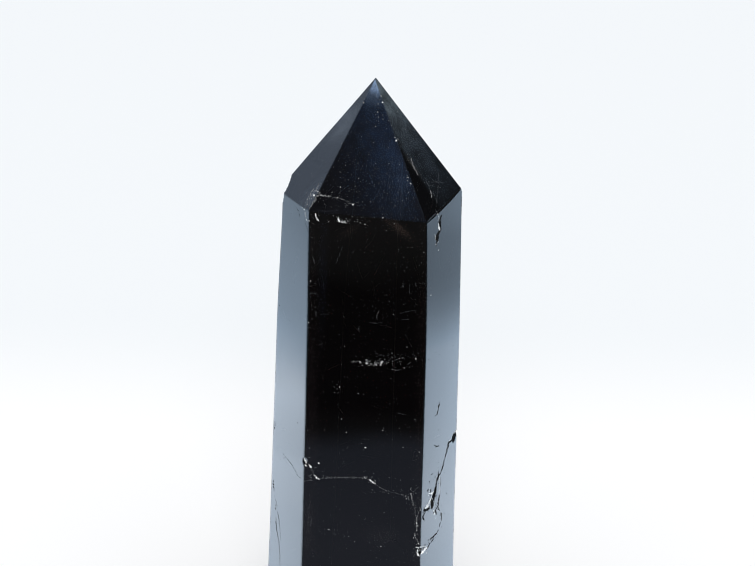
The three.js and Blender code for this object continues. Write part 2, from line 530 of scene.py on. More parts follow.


# hazes and painted light: faint clouds of tiny flaws beneath the polish, the brown and grey ones a
# haze in the quartz, the blue ones painted light, each marked where it stands. Each is a bell on one
# face, its middle and spread given across and down in mm and turned by its lean in degrees, its
# amount the share of light it scatters back. One with a cut stops softly at the line from one place to
# another, and lies to the line's right going along it
veilsAndPaintedLight = [
    # painted glow: the light seen through the thin tip, painted as a bright blue cloud at the peak
    {"side": "front", "tipFacet": True, "middle": (0.3, 0), "spread": (2.2, 1.8), "amount": 0.52,
     "tint": "#98b3d8"},
    # painted reflection: the bluish room mirrored in the front tip facet, painted as two blue clouds
    {"side": "front", "tipFacet": True, "middle": (1.5, 6), "spread": (5.5, 9), "amount": 0.036,
     "tint": "#5d84bc"},
    {"side": "front", "tipFacet": True, "middle": (4.2, 12.8), "spread": (2.6, 4), "amount": 0.042,
     "tint": "#6884ae"},
    # painted glow and reflection: the bright top of the right tip facet and the bluish light mirrored in it,
    # painted as two blue-grey clouds
    {"side": "frontRight", "tipFacet": True, "middle": (0, 0), "spread": (3, 6), "amount": 0.165,
     "tint": "#9fb0bb"},
    {"side": "frontRight", "tipFacet": True, "middle": (1.2, 9), "spread": (5, 7), "amount": 0.066,
     "tint": "#748698", "cut": ((-2.9, 5.5), (-2.0, 15.5)), "soft": 0.5},
    {"side": "frontRight", "tipFacet": True, "middle": (-2.3, 11.4), "spread": (0.3, 1.2), "amount": 0.05,
     "tint": "#a8a49c", "lean": 12},
    # painted reflection: the bluish light mirrored in the left tip facet, painted as a blue-grey cloud
    {"side": "frontLeft", "tipFacet": True, "middle": (0.9, 6.2), "spread": (2.2, 2.6), "amount": 0.11,
     "tint": "#8b96a2"},
    {"side": "frontLeft", "tipFacet": True, "middle": (6.6, 14.4), "spread": (1.2, 1.6), "amount": 0.05,
     "tint": "#8f99a8"},
    # painted reflection: a bluish streak mirrored down the front face's left side, painted as a blue cloud
    {"side": "front", "middle": (-7.6, 27), "spread": (0.6, 9), "amount": 0.009, "tint": "#5c6a8c"},
    {"side": "front", "middle": (-9.4, 55), "spread": (1.3, 40), "amount": 0.012, "tint": "#6d5f60"},
    {"side": "front", "middle": (9.2, 45), "spread": (1.2, 60), "amount": 0.018, "tint": "#6b5b57"},
    {"side": "front", "middle": (4.2, 19.1), "spread": (2.3, 0.6), "amount": 0.05, "tint": "#7d6a60",
     "lean": -41},
    {"side": "front", "middle": (-3.6, 19.7), "spread": (1.4, 0.5), "amount": 0.022, "tint": "#7d6a60",
     "lean": 40},
    {"side": "front", "middle": (2.8, 74.6), "spread": (1.8, 1.4), "amount": 0.016, "tint": "#6f6a68"},
    {"side": "front", "middle": (-9.2, 72), "spread": (0.9, 3), "amount": 0.02, "tint": "#6f6664"},
]


def veilsAndPaintedLightAt(points):
    # amounts of all the hazes and painted light at each point add up, and their tints mix by amount
    shares = skinGap(points)[2]
    amount, tint = np.zeros(points.shape[:-1]), np.zeros(points.shape)
    for veilAndPaintedLight in veilsAndPaintedLight:
        row = planeOf(veilAndPaintedLight["side"], veilAndPaintedLight.get("tipFacet"))
        across, drop = facePlaces(points, row)
        lean = math.radians(veilAndPaintedLight.get("lean", 0))
        x, y = across - veilAndPaintedLight["middle"][0], drop - veilAndPaintedLight["middle"][1]
        bell = np.exp(-((x * math.cos(lean) - y * math.sin(lean)) / veilAndPaintedLight["spread"][0]) ** 2
                      - ((x * math.sin(lean) + y * math.cos(lean)) / veilAndPaintedLight["spread"][1]) ** 2)
        if "cut" in veilAndPaintedLight:
            (a0, d0), (a1, d1) = veilAndPaintedLight["cut"]
            gap = ((across - a0) * (d1 - d0) - (drop - d0) * (a1 - a0)) / math.hypot(a1 - a0, d1 - d0)
            bell = bell * easeStep(gap / veilAndPaintedLight["soft"] + 0.5)
        weight = bell * veilAndPaintedLight["amount"] * shares[..., row]
        amount += weight
        tint += weight[..., None] * np.array(linear(veilAndPaintedLight["tint"])[:3])
    return amount, tint / np.maximum(amount, 1e-9)[..., None]


def footRings(rim, plan):
    # rings from the middle of the foot out to its rim, and up a quarter-round bevel to the first ring:
    # bevel (1 - cos q) inwards and bevel (1 - sin q) up, for q from 0 to a right angle
    bevel = plan["footBevel"] * mm
    quarter = np.linspace(0, math.pi / 2, plan["bevelRows"])[1:]
    scale = 1 - bevel * (1 - np.cos(quarter)) / (plan["footRadius"] * mm)
    height = bevel * (1 - np.sin(quarter))
    rings = np.array(plan["footRings"])
    scale = np.concatenate([scale, scale[-1] * rings])[::-1]
    height = np.concatenate([height, np.zeros(len(rings))])[::-1]
    middle = tip[:2]
    return np.concatenate([middle + (rim[:, :2] - middle) * scale[:, None, None],
                           np.broadcast_to(height[:, None, None], (len(scale), len(rim), 1))], axis=-1)


def crystalMesh(plan, material):
    # the grid's rings joined by quads, and closed by fans at the peak and in the middle of the foot
    points = crystalGrid(plan)
    for hollow in hollows:
        points = scoop(points, hollow)
    grid = np.concatenate([footRings(points[0], plan), points])
    tall, count = grid.shape[:2]
    peak = [*grid[-1, :, :2].mean(0), grid[-1, :, 2].max() + plan["peakRise"] * mm]
    verts = np.concatenate([grid.reshape(-1, 3), [peak, [*tip[:2], 0]]])
    row, column = np.meshgrid(np.arange(tall - 1), np.arange(count), indexing="ij")
    a = row * count + column
    b = row * count + (column + 1) % count
    quads = np.stack([a, b, b + count, a + count], axis=-1).reshape(-1, 4)
    low = np.arange(count)
    rim = (tall - 1) * count + low
    fans = np.concatenate([
        np.stack([rim, np.roll(rim, -1), np.full(count, tall * count)], axis=-1),
        np.stack([np.roll(low, -1), low, np.full(count, tall * count + 1)], axis=-1)])
    print("crystal grid", tall, "rows", count, "columns", 2 * len(quads) + len(fans), "triangles")
    piece = putMesh("crystal", verts, quads, fans, material)
    amount, tint = veilsAndPaintedLightAt(verts)
    putAttribute(piece, "veilAndPaintedLight", amount)
    putAttribute(piece, "veilAndPaintedLightTint", np.concatenate([tint, np.ones((len(tint), 1))], axis=1))
    return piece


def morionQuartz():
    # morion, smoky quartz so dark that it looks black: clear brown in the first millimetre and black below
    # it, lapped flat by hand and polished with cerium oxide. Faint clouds of flaws scatter a little light,
    # and the blue ones among them are painted light: the tip's glow and the bluish room mirrored in the
    # facets
    material, add = newMaterial("polished morion quartz")
    look = add("TexCoord")
    amount = add("Attribute", attribute_name="veilAndPaintedLight")
    tint = add("Attribute", attribute_name="veilAndPaintedLightTint")
    # clouds about 1.5 mm across, drawn out along the crystal, with grains of 0.2 mm in them
    drawn = add("Mapping", {"Vector": look.outputs["Object"], "Scale": (1, 1, 0.35)})
    clouds = add("TexNoise", {"Vector": drawn, "Scale": 650.0, "Detail": 3.0, "Roughness": 0.6})
    grains = add("TexNoise", {"Vector": look.outputs["Object"], "Scale": 5000.0, "Detail": 1.0})
    patchy = add("MapRange", {"Value": clouds.outputs["Fac"], "From Min": 0.3, "From Max": 0.7,
                              "To Min": 0.45, "To Max": 1.6})
    grainy = add("MapRange", {"Value": grains.outputs["Fac"], "From Min": 0.35, "From Max": 0.7,
                              "To Min": 0.85, "To Max": 1.2})
    both = add("Math", {0: patchy, 1: grainy}, operation="MULTIPLY")
    # brown smoke in patches of 6 mm
    patches = add("TexNoise", {"Vector": look.outputs["Object"], "Scale": 160.0, "Detail": 2.0})
    smoke = add("MapRange", {"Value": patches.outputs["Fac"], "From Min": 0.4, "From Max": 0.7,
                             "To Min": 0.0002, "To Max": 0.001})
    hazeAndPaintedLight = add("Math", {0: amount.outputs["Fac"], 1: both, 2: smoke}, operation="MULTIPLY_ADD")
    clear = add("Math", {0: 1.0, 1: hazeAndPaintedLight}, operation="SUBTRACT", use_clamp=True)
    # the tint of the hazes and of the painted light shows only where they lie, the brown of the clear quartz
    # elsewhere
    where = add("Math", {0: amount.outputs["Fac"], 1: 400.0}, operation="MULTIPLY", use_clamp=True)
    colour = add("Mix", {0: where, 6: linear("#6b3a36"), 7: tint.outputs["Color"]}, data_type="RGBA")
    # smears of the polish, 4 mm across
    smears = add("TexNoise", {"Vector": drawn, "Scale": 240.0, "Detail": 4.0})
    gloss = add("MapRange", {"Value": smears.outputs["Fac"], "From Min": 0.3, "From Max": 0.75,
                             "To Min": 0.02, "To Max": 0.07})
    # lapping lines 0.4 mm apart running up the crystal
    lines = add("Mapping", {"Vector": look.outputs["Object"], "Scale": (1, 1, 0.04)})
    lapped = add("TexNoise", {"Vector": lines, "Scale": 2500.0, "Detail": 2.0})
    relief = add("Bump", {"Height": lapped.outputs["Fac"], "Strength": 0.12, "Distance": 0.00001})
    body = add("BsdfPrincipled", {"Base Color": colour.outputs[2], "Roughness": gloss,
                                  "Transmission Weight": clear, "Normal": relief, "IOR": 1.544})
    depth = add("VolumeAbsorption", {"Color": linear("#8a5a3a"), "Density": 1200.0})
    add("OutputMaterial", {"Surface": body, "Volume": depth})
    return material


crystal = crystalMesh(skinPlan, morionQuartz())
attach(crystal, "root")
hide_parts("morion_point")
print("crystal made")

# broken quartz: cracks, chips, flakes and dust

def brokenQuartz(name, sheen):
    # quartz broken open: glassy splinters and conchoidal steps that scatter light every way. Each
    # flake carries its own shade, a tone from black to white that is partly painted light: the pale end
    # is the sugary white of crushed quartz and a painted highlight where a broken lip faces the light,
    # the dark end is painted shade where a crack or pit lies in its own shadow. Splinters about 0.1 mm across
    material, add = newMaterial(name)
    look = add("TexCoord")
    splinters = add("TexVoronoi", {"Vector": look.outputs["Object"], "Scale": 9000.0})
    shade = add("Attribute", attribute_name="shade")
    uneven = add("MapRange", {"Value": splinters.outputs["Distance"], "From Max": 0.7, "To Min": 0.75,
                              "To Max": 1.3})
    share = add("Math", {0: shade.outputs["Fac"], 1: uneven}, operation="MULTIPLY", use_clamp=True)
    colour = add("Mix", {0: share, 6: linear("#08080a"), 7: linear("#f4f6f6")}, data_type="RGBA")
    relief = add("Bump", {"Height": splinters.outputs["Distance"], "Strength": 0.5, "Distance": 0.00003})
    body = add("BsdfPrincipled", {"Base Color": colour.outputs[2], "Normal": relief, "Roughness": 0.45,
                                  "IOR": 1.544, "Specular IOR Level": sheen})
    add("OutputMaterial", {"Surface": body})
    return material


# pale flakes: white crushed quartz and painted highlights; dark flakes: painted shade, near black and without
# shine
paleBreak = brokenQuartz("broken quartz", 0.4)
paintedShadeBreak = brokenQuartz("broken morion in painted shade", 0.0)


flakePlan = {
    "sides": 8,
    "shift": (-0.3, 0.3),    # of the way to the next rim point
    "radius": (0.65, 1.05),  # shares of the ellipse
    "seeds": {"paleCracks": 41, "darkCracks": 42, "paleFlakes": 33, "darkFlakes": 34, "paintedEdgeShade": 39,
              "dust": 36},
    "proud": {"darkCracks": 0.1, "darkFlakes": 0.12, "paintedEdgeShade": 0.1},  # share of a flake's width
    "elsewhere": 0.2,        # and that share on the other pieces
}


def flakeMesh(name, flakes, material):
    # each flake is a jagged lens: rim points round an ellipse, length by width, turned in the
    # face, each at a random share of its radius; one point stands proud by a share of the width and
    # one lies as deep beneath. flakes holds point, normal, length, width, turn and shade
    dice = np.random.default_rng(flakePlan["seeds"][name])
    proud = flakePlan["proud"].get(name, flakePlan["elsewhere"])
    points, normals, length, width, turn, shade = flakes
    for hollow in hollows:
        points = scoop(points, hollow)
    count, sides = len(points), flakePlan["sides"]
    level, upright = acrossAndUp(normals)
    angle = (np.arange(sides) + dice.uniform(*flakePlan["shift"], (count, sides))) / sides * math.tau
    radius = dice.uniform(*flakePlan["radius"], (count, sides)) / 2 * mm
    x, y = np.cos(angle) * radius * length[:, None], np.sin(angle) * radius * width[:, None]
    c, s = np.cos(np.radians(turn))[:, None], np.sin(np.radians(turn))[:, None]
    rim = (points[:, None] + level[:, None] * (x * c - y * s)[..., None]
           + upright[:, None] * (x * s + y * c)[..., None])
    lift = normals * (np.minimum(length, width) * proud * mm)[:, None]
    verts = np.concatenate([rim, (points + lift)[:, None], (points - lift)[:, None]], axis=1)
    k = np.arange(sides)
    after = np.roll(k, -1)
    fan = np.concatenate([np.stack([k, after, np.full(sides, sides)], axis=-1),
                          np.stack([after, k, np.full(sides, sides + 1)], axis=-1)])
    fans = (fan[None] + (np.arange(count) * (sides + 2))[:, None, None]).reshape(-1, 3)
    piece = putMesh(name, verts.reshape(-1, 3), np.empty((0, 4), int), fans, material, False)
    putAttribute(piece, "shade", np.repeat(shade, sides + 2))
    print(name, count, "flakes")
    return piece


def flaw(piece):
    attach(piece, "root")


strokePlan = {
    "paleSeed": 31,
    "darkSeed": 32,
    "longest": 1.7,    # length of a flake against its width
    "shortest": 0.15,  # mm
    "overlap": 0.5,    # distance to the next flake against the length
    "stray": 0.045,    # mm that flakes lie off the path
    "scatter": 24,     # degrees that they turn off it
    "fine": 0.2,       # mm; thinner strokes are broken up
    "gaps": 0.3,       # share of their flakes that is missing
    "fineShade": 0.55,
    "fineLight": (0.2, 2.6, 2.5),  # their shade: least + range times a random number to a power
    "light": (0.5, 1.4),           # and that of the others
    "lengths": (0.8, 1.3),
    "taper": (0.08, 0.92),         # part of the half sine that is used
    "taperPower": 0.3,
    "thick": (0.6, 1.15),          # random widths, one every few flakes
    "thickEvery": 4,
    "look": 0.1,                   # mm back and ahead along the path that give its direction
}
onSkinWithin = 0.01  # mm; flakes farther off the skin did not settle and are left out


def strungFlakes(strokes, plan, dice):
    # flakes strung along each stroke: n = path length / (overlap times flake length) of them, evenly
    # spaced and turned along the path, each off it by a random bit; widths taper as a power of a sine
    # and are multiplied by a smoothed random share, so that the stroke thins and thickens
    found = []
    for side, tipFacet, towards, rows in strokes:
        for width, shade, path in rows:
            path = np.array(path, float)
            along = np.concatenate([[0], np.cumsum(np.hypot(*np.diff(path, axis=0).T))])
            length = max(width * plan["longest"], plan["shortest"])
            count = max(3, round(along[-1] / (length * plan["overlap"])))
            s = np.linspace(0, along[-1], count)
            across = np.interp(s, along, path[:, 0]) + dice.normal(size=count) * plan["stray"]
            drop = np.interp(s, along, path[:, 1]) + dice.normal(size=count) * plan["stray"]
            points, normals = onSkin(side, across, drop, tipFacet, towards)
            back, front = ([np.interp(place, along, part) for part in path.T]
                           for place in (s - plan["look"], s + plan["look"]))
            ahead = onSkin(side, *front, tipFacet, towards)[0] - onSkin(side, *back, tipFacet, towards)[0]
            level, upright = acrossAndUp(normals)
            turn = np.degrees(np.arctan2((ahead * upright).sum(1), (ahead * level).sum(1)))
            turn = turn + dice.normal(size=count) * plan["scatter"]
            taper = np.sin(math.pi * np.linspace(*plan["taper"], count)) ** plan["taperPower"]
            knots = dice.uniform(*plan["thick"], max(3, count // plan["thickEvery"]))
            thick = width * taper * np.interp(s, np.linspace(0, along[-1], len(knots)), knots)
            kept = abs(skinGap(points)[0]) < onSkinWithin * mm
            light = shade * dice.uniform(*plan["light"], count)
            if width < plan["fine"]:
                kept &= dice.uniform(size=count) > plan["gaps"]
                least, span, power = plan["fineLight"]
                light = shade * plan["fineShade"] * (least + span * dice.uniform(size=count) ** power)
            lengths = length * dice.uniform(*plan["lengths"], count)
            parts = (points, normals, lengths, thick, turn, np.clip(light, 0, 1))
            found.append([part[kept] for part in parts])
    return joined(*found)


def placedFlakes(groups):
    # single flakes: each group is a side, whether on its tip facet, and rows of across, drop, length,
    # width, turn and shade
    found = []
    for side, tipFacet, rows in groups:
        rows = np.array(rows, float)
        points, normals = onSkin(side, rows[:, 0], rows[:, 1], tipFacet)
        found.append((points, normals, *rows[:, 2:].T))
    return joined(*found)


# pale strokes: the crack across the tip facet's foot, the long one low on the front with its
# branches, the net beside it, the ring chip and the scratches. Each row is a width in mm, a shade
# from 0, black, to 1, white, and a path of across and drop in mm. Most points here and in darkStrokes
# were printed by a scratch program that worked them out from measured places, then rounded and changed
paleStrokes = [
    ("front", True, None, [
        (0.2, 0.16, [(-9.2, 14.3), (-8.4, 14.45), (-7.8, 14.55)]),
        (0.11, 0.2, [(-7.8, 14.55), (-7.2, 14.65), (-6.4, 14.75)]),
        (0.1, 0.13, [(-6.4, 14.75), (-5.7, 14.9), (-5.1, 15.2), (-4.6, 15.5)]),
        (0.08, 0.06, [(-5.9, 13.4), (-6.0, 14.0), (-6.1, 14.6)]),
        (0.4, 0.1, [(-9.3, 14.2), (-9.8, 14.7), (-10.3, 15.3), (-10.9, 16.0)]),
    ]),
    ("front", False, None, [
        (0.34, 0.9, [(-10.1, 61.1), (-9.9, 61.6), (-9.7, 62.1)]),
        (0.3, 0.9, [(-9.3, 62.1), (-8.9, 62.5)]),
        (0.1, 0.12, [(-8.8, 62.8), (-8.4, 63.8)]),
        (0.3, 0.9, [(-8.3, 64.0), (-8.0, 64.3), (-7.7, 64.6)]),
        (0.16, 0.3, [(-8.8, 64.8), (-8.0, 64.6)]),
        (0.1, 0.1, [(-10.0, 65.0), (-8.9, 64.8)]),
        (0.11, 0.15, [(-7.5, 64.5), (-5.5, 64.35), (-3.4, 64.15), (-0.7, 64.2)]),
        (0.18, 0.7, [(-0.7, 64.15), (0.1, 64.15)]),
        (0.27, 0.85, [(0.5, 64.6), (0.8, 64.85), (1.2, 65.15)]),
        (0.12, 0.1, [(1.2, 65.2), (2.1, 65.9), (3.4, 66.6), (4.7, 66.9), (5.7, 67.2), (6.5, 67.8)]),
        (0.12, 0.16, [(7.1, 65.7), (7.2, 67.3), (7.5, 68.6), (7.8, 69.9), (8.1, 71.5), (8.2, 73.6)]),
        (0.15, 0.6, [(8.1, 71.2), (8.2, 73.6)]),
        (0.34, 0.16, [(7.1, 67.1), (7.3, 67.7)]),
        (0.12, 0.16, [(8.7, 69.4), (8.4, 70.4), (8.2, 71.7), (8.2, 72.6)]),
        (0.13, 0.14, [(6.4, 67.0), (6.8, 67.9), (7.4, 68.7)]),
        (0.09, 0.06, [(7.4, 67.0), (7.9, 66.1), (8.6, 65.5)]),
        (0.17, 0.22, [(8.2, 73.6), (7.9, 74.5), (8.2, 75.4), (8.5, 76.2)]),
        (0.42, 0.95, [(8.5, 76.9), (8.4, 77.5), (8.5, 78.1)]),
        (0.22, 0.8, [(-8.9, 16.9), (-8.8, 17.4), (-8.5, 18.0)]),
        (0.34, 0.85, [(-5.3, 17.6), (-5.2, 18.0), (-4.7, 18.2)]),
        (0.22, 0.7, [(-4.6, 18.1), (-4.1, 18.3)]),
        (0.27, 0.8, [(1.8, 43.6), (2.0, 43.2)]),
        (0.18, 0.8, [(2.0, 43.2), (2.3, 42.9)]),
        (0.12, 0.09, [(1.1, 43.2), (1.3, 42.9), (1.8, 42.6)]),
        (0.1, 0.06, [(3.8, 44.4), (4.4, 44.5), (5.1, 44.4)]),
        (0.1, 0.05, [(4.0, 42.7), (4.2, 42.2), (4.0, 41.9)]),
        (0.13, 0.35, [(6.9, 41.6), (7.3, 41.9)]),
        (0.1, 0.015, [(-4.6, 22.7), (-5.1, 24.4), (-5.7, 26.0)]),
        (0.12, 0.06, [(-9.3, 24.4), (-8.9, 25.6)]),
        (0.16, 0.12, [(-9.6, 30.8), (-8.7, 31.1)]),
        (0.09, 0.05, [(6.2, 29.1), (6.1, 30.8)]),
        (0.12, 0.06, [(5.1, 28.9), (5.1, 29.6)]),
        (0.1, 0.08, [(7.0, 28.6), (7.2, 29.4)]),
        (0.1, 0.09, [(1.4, 33.9), (1.1, 34.6), (1.1, 35.4)]),
        (0.09, 0.05, [(0.0, 36.0), (1.0, 36.2), (2.0, 35.9)]),
        (0.1, 0.02, [(4.7, 34.3), (5.9, 33.9), (7.2, 33.7)]),
        (0.08, 0.02, [(5.0, 35.4), (6.2, 35.3)]),
        (0.08, 0.02, [(-7.8, 34.8), (-6.6, 34.7)]),
        (0.1, 0.04, [(-8.6, 34.3), (-8.5, 35.1)]),
        (0.1, 0.06, [(-1.8, 36.8), (-1.7, 37.6)]),
        (0.1, 0.07, [(4.6, 52.3), (5.2, 52.4), (5.9, 52.5)]),
        (0.1, 0.05, [(-8.7, 72.0), (-8.8, 73.2)]),
    ]),
    ("frontLeft", True, None, [
        (0.22, 0.16, [(6.1, 15.0), (5.7, 14.6), (5.6, 14.1)]),
        (0.22, 0.14, [(6.3, 14.1), (6.2, 13.7), (5.9, 13.4)]),
    ]),
    ("frontLeft", False, None, [(0.36, 0.3, [(6.1, 17.3), (6.3, 17.8), (6.6, 18.2)])]),
    ("frontRight", False, None, [
        (0.65, 0.95, [(-8.0, 78.0), (-7.2, 77.9), (-6.0, 77.8)]),
        (0.29, 0.5, [(-8.1, 76.7), (-7.1, 76.9), (-6.0, 77.4)]),
        (0.76, 0.12, [(-7.7, 77.3), (-6.8, 77.5)]),
        (0.5, 0.85, [(-4.4, 19.9), (-4.3, 20.4), (-4.0, 20.9)]),
        (0.18, 0.4, [(-4.6, 17.5), (-4.4, 18.6), (-4.5, 19.4)]),
        (0.22, 0.4, [(-5.5, 21.1), (-5.4, 22.0)]),
        (0.5, 0.75, [(-5.4, 68.0), (-4.4, 68.3)]),
        (0.47, 0.85, [(-4.9, 69.0), (-5.3, 69.4), (-5.8, 70.1)]),
        (0.36, 0.6, [(-6.1, 70.0), (-6.5, 70.2)]),
        (0.23, 0.45, [(-2.3, 66.0), (-2.3, 67.9), (-2.4, 69.8)]),
        (0.5, 0.9, [(-3.9, 72.0), (-3.6, 72.5)]),
        (0.29, 0.5, [(1.5, 60.6), (2.1, 60.3), (2.4, 60.2)]),
    ]),
    ("frontRight", True, None, [
        (0.18, 0.06, [(-1.4, 13.4), (-1.7, 14.3), (-1.8, 15.1)]),
        (0.31, 0.16, [(-1.8, 15.1), (-2.1, 15.6)]),
        (0.42, 0.1, [(-2.0, 10.6), (-2.4, 11.6), (-2.4, 12.3)]),
        (0.14, 0.04, [(1.9, 13.6), (-0.4, 15.5), (-3.1, 17.3)]),
        (0.13, 0.035, [(-0.6, 14.1), (1.8, 15.0)]),
    ]),
]

# the dark cracks, open and in their own shadow: down the right face from the nick to the ring chip,
# with a fork and a loop, the two open pits under the shoulder, and thin cracks on the left face
darkStrokes = [
    ("frontRight", False, None, [
        (1.35, 0.01, [(2.0, 60.7), (1.8, 61.2), (1.6, 61.6)]),
        (0.58, 0.012, [(1.4, 61.5), (0.7, 61.2), (0.2, 61.3), (-0.1, 62.2), (-0.6, 63.1)]),
        (0.5, 0.012, [(-0.6, 63.1), (-1.2, 64.2), (-1.6, 65.1), (-2.2, 65.8), (-2.8, 66.0)]),
        (0.99, 0.01, [(-2.8, 65.8), (-3.0, 66.2), (-3.1, 66.5)]),
        (0.5, 0.012, [(-3.2, 66.5), (-3.4, 67.3), (-3.6, 68.2)]),
        (1.53, 0.01, [(-3.6, 68.1), (-3.9, 68.8), (-4.2, 69.5), (-4.6, 70.2)]),
        (0.76, 0.01, [(-4.6, 70.1), (-5.5, 70.5), (-6.6, 70.5)]),
        (0.76, 0.01, [(-6.7, 70.5), (-7.0, 71.0), (-7.0, 71.9)]),
        (0.25, 0.02, [(-2.0, 66.3), (-2.0, 68.4), (-2.2, 70.0)]),
        (0.47, 0.012, [(-2.4, 69.9), (-2.6, 70.8), (-2.6, 72.0)]),
        (0.54, 0.012, [(-3.2, 71.8), (-3.5, 72.1), (-3.2, 72.6)]),
        (0.36, 0.03, [(-2.5, 72.0), (-1.5, 73.5), (-1.3, 74.4), (-1.8, 75.2), (-2.2, 76.1), (-3.1, 76.5)]),
        (0.43, 0.02, [(-3.1, 76.5), (-4.2, 76.7), (-5.2, 76.6)]),
        (0.4, 0.02, [(-2.7, 76.4), (-3.7, 77.1), (-4.5, 77.3), (-5.3, 77.6)]),
        (0.61, 0.012, [(-5.0, 77.3), (-5.4, 77.7), (-5.8, 77.9)]),
        (0.47, 0.02, [(-4.2, 59.8), (-3.2, 60.4)]),
        (0.18, 0.03, [(-5.8, 65.2), (-5.4, 66.2)]),
        (0.9, 0.01, [(-4.0, 19.0), (-4.1, 19.6), (-3.9, 20.3)]),
        (1.3, 0.01, [(-4.4, 21.3), (-4.9, 21.7), (-4.6, 22.5)]),
        (0.43, 0.02, [(-4.8, 22.4), (-5.1, 23.3)]),
        (0.47, 0.02, [(-3.3, 52.6), (-3.4, 53.1)]),
        (0.54, 0.02, [(-3.4, 53.4), (-3.7, 54.0)]),
        (0.18, 0.03, [(-4.0, 54.2), (-4.6, 54.4)]),
    ]),
    ("frontLeft", False, None, [
        (0.36, 0.02, [(-2.4, 59.2), (-2.5, 60.5)]),
        (0.47, 0.02, [(-2.5, 69.9), (-2.3, 71.4)]),
        (0.3, 0.07, [(-1.3, 72.9), (-1.6, 74.3), (-1.5, 76.1), (-1.1, 78.1), (-0.3, 79.8), (0.1, 81.8),
                     (0.2, 83.9)]),
        (0.23, 0.05, [(-1.2, 73.6), (-0.7, 75.1), (-0.1, 77.2), (0.3, 79.1)]),
        (0.22, 0.1, [(0.8, 63.4), (2.7, 63.7), (3.8, 64.0), (5.4, 65.0), (6.9, 64.8)]),
        (0.25, 0.03, [(3.5, 17.6), (4.2, 17.9), (4.2, 18.6)]),
        (0.22, 0.04, [(5.8, 18.9), (6.6, 19.3), (6.9, 20.0)]),
    ]),
]

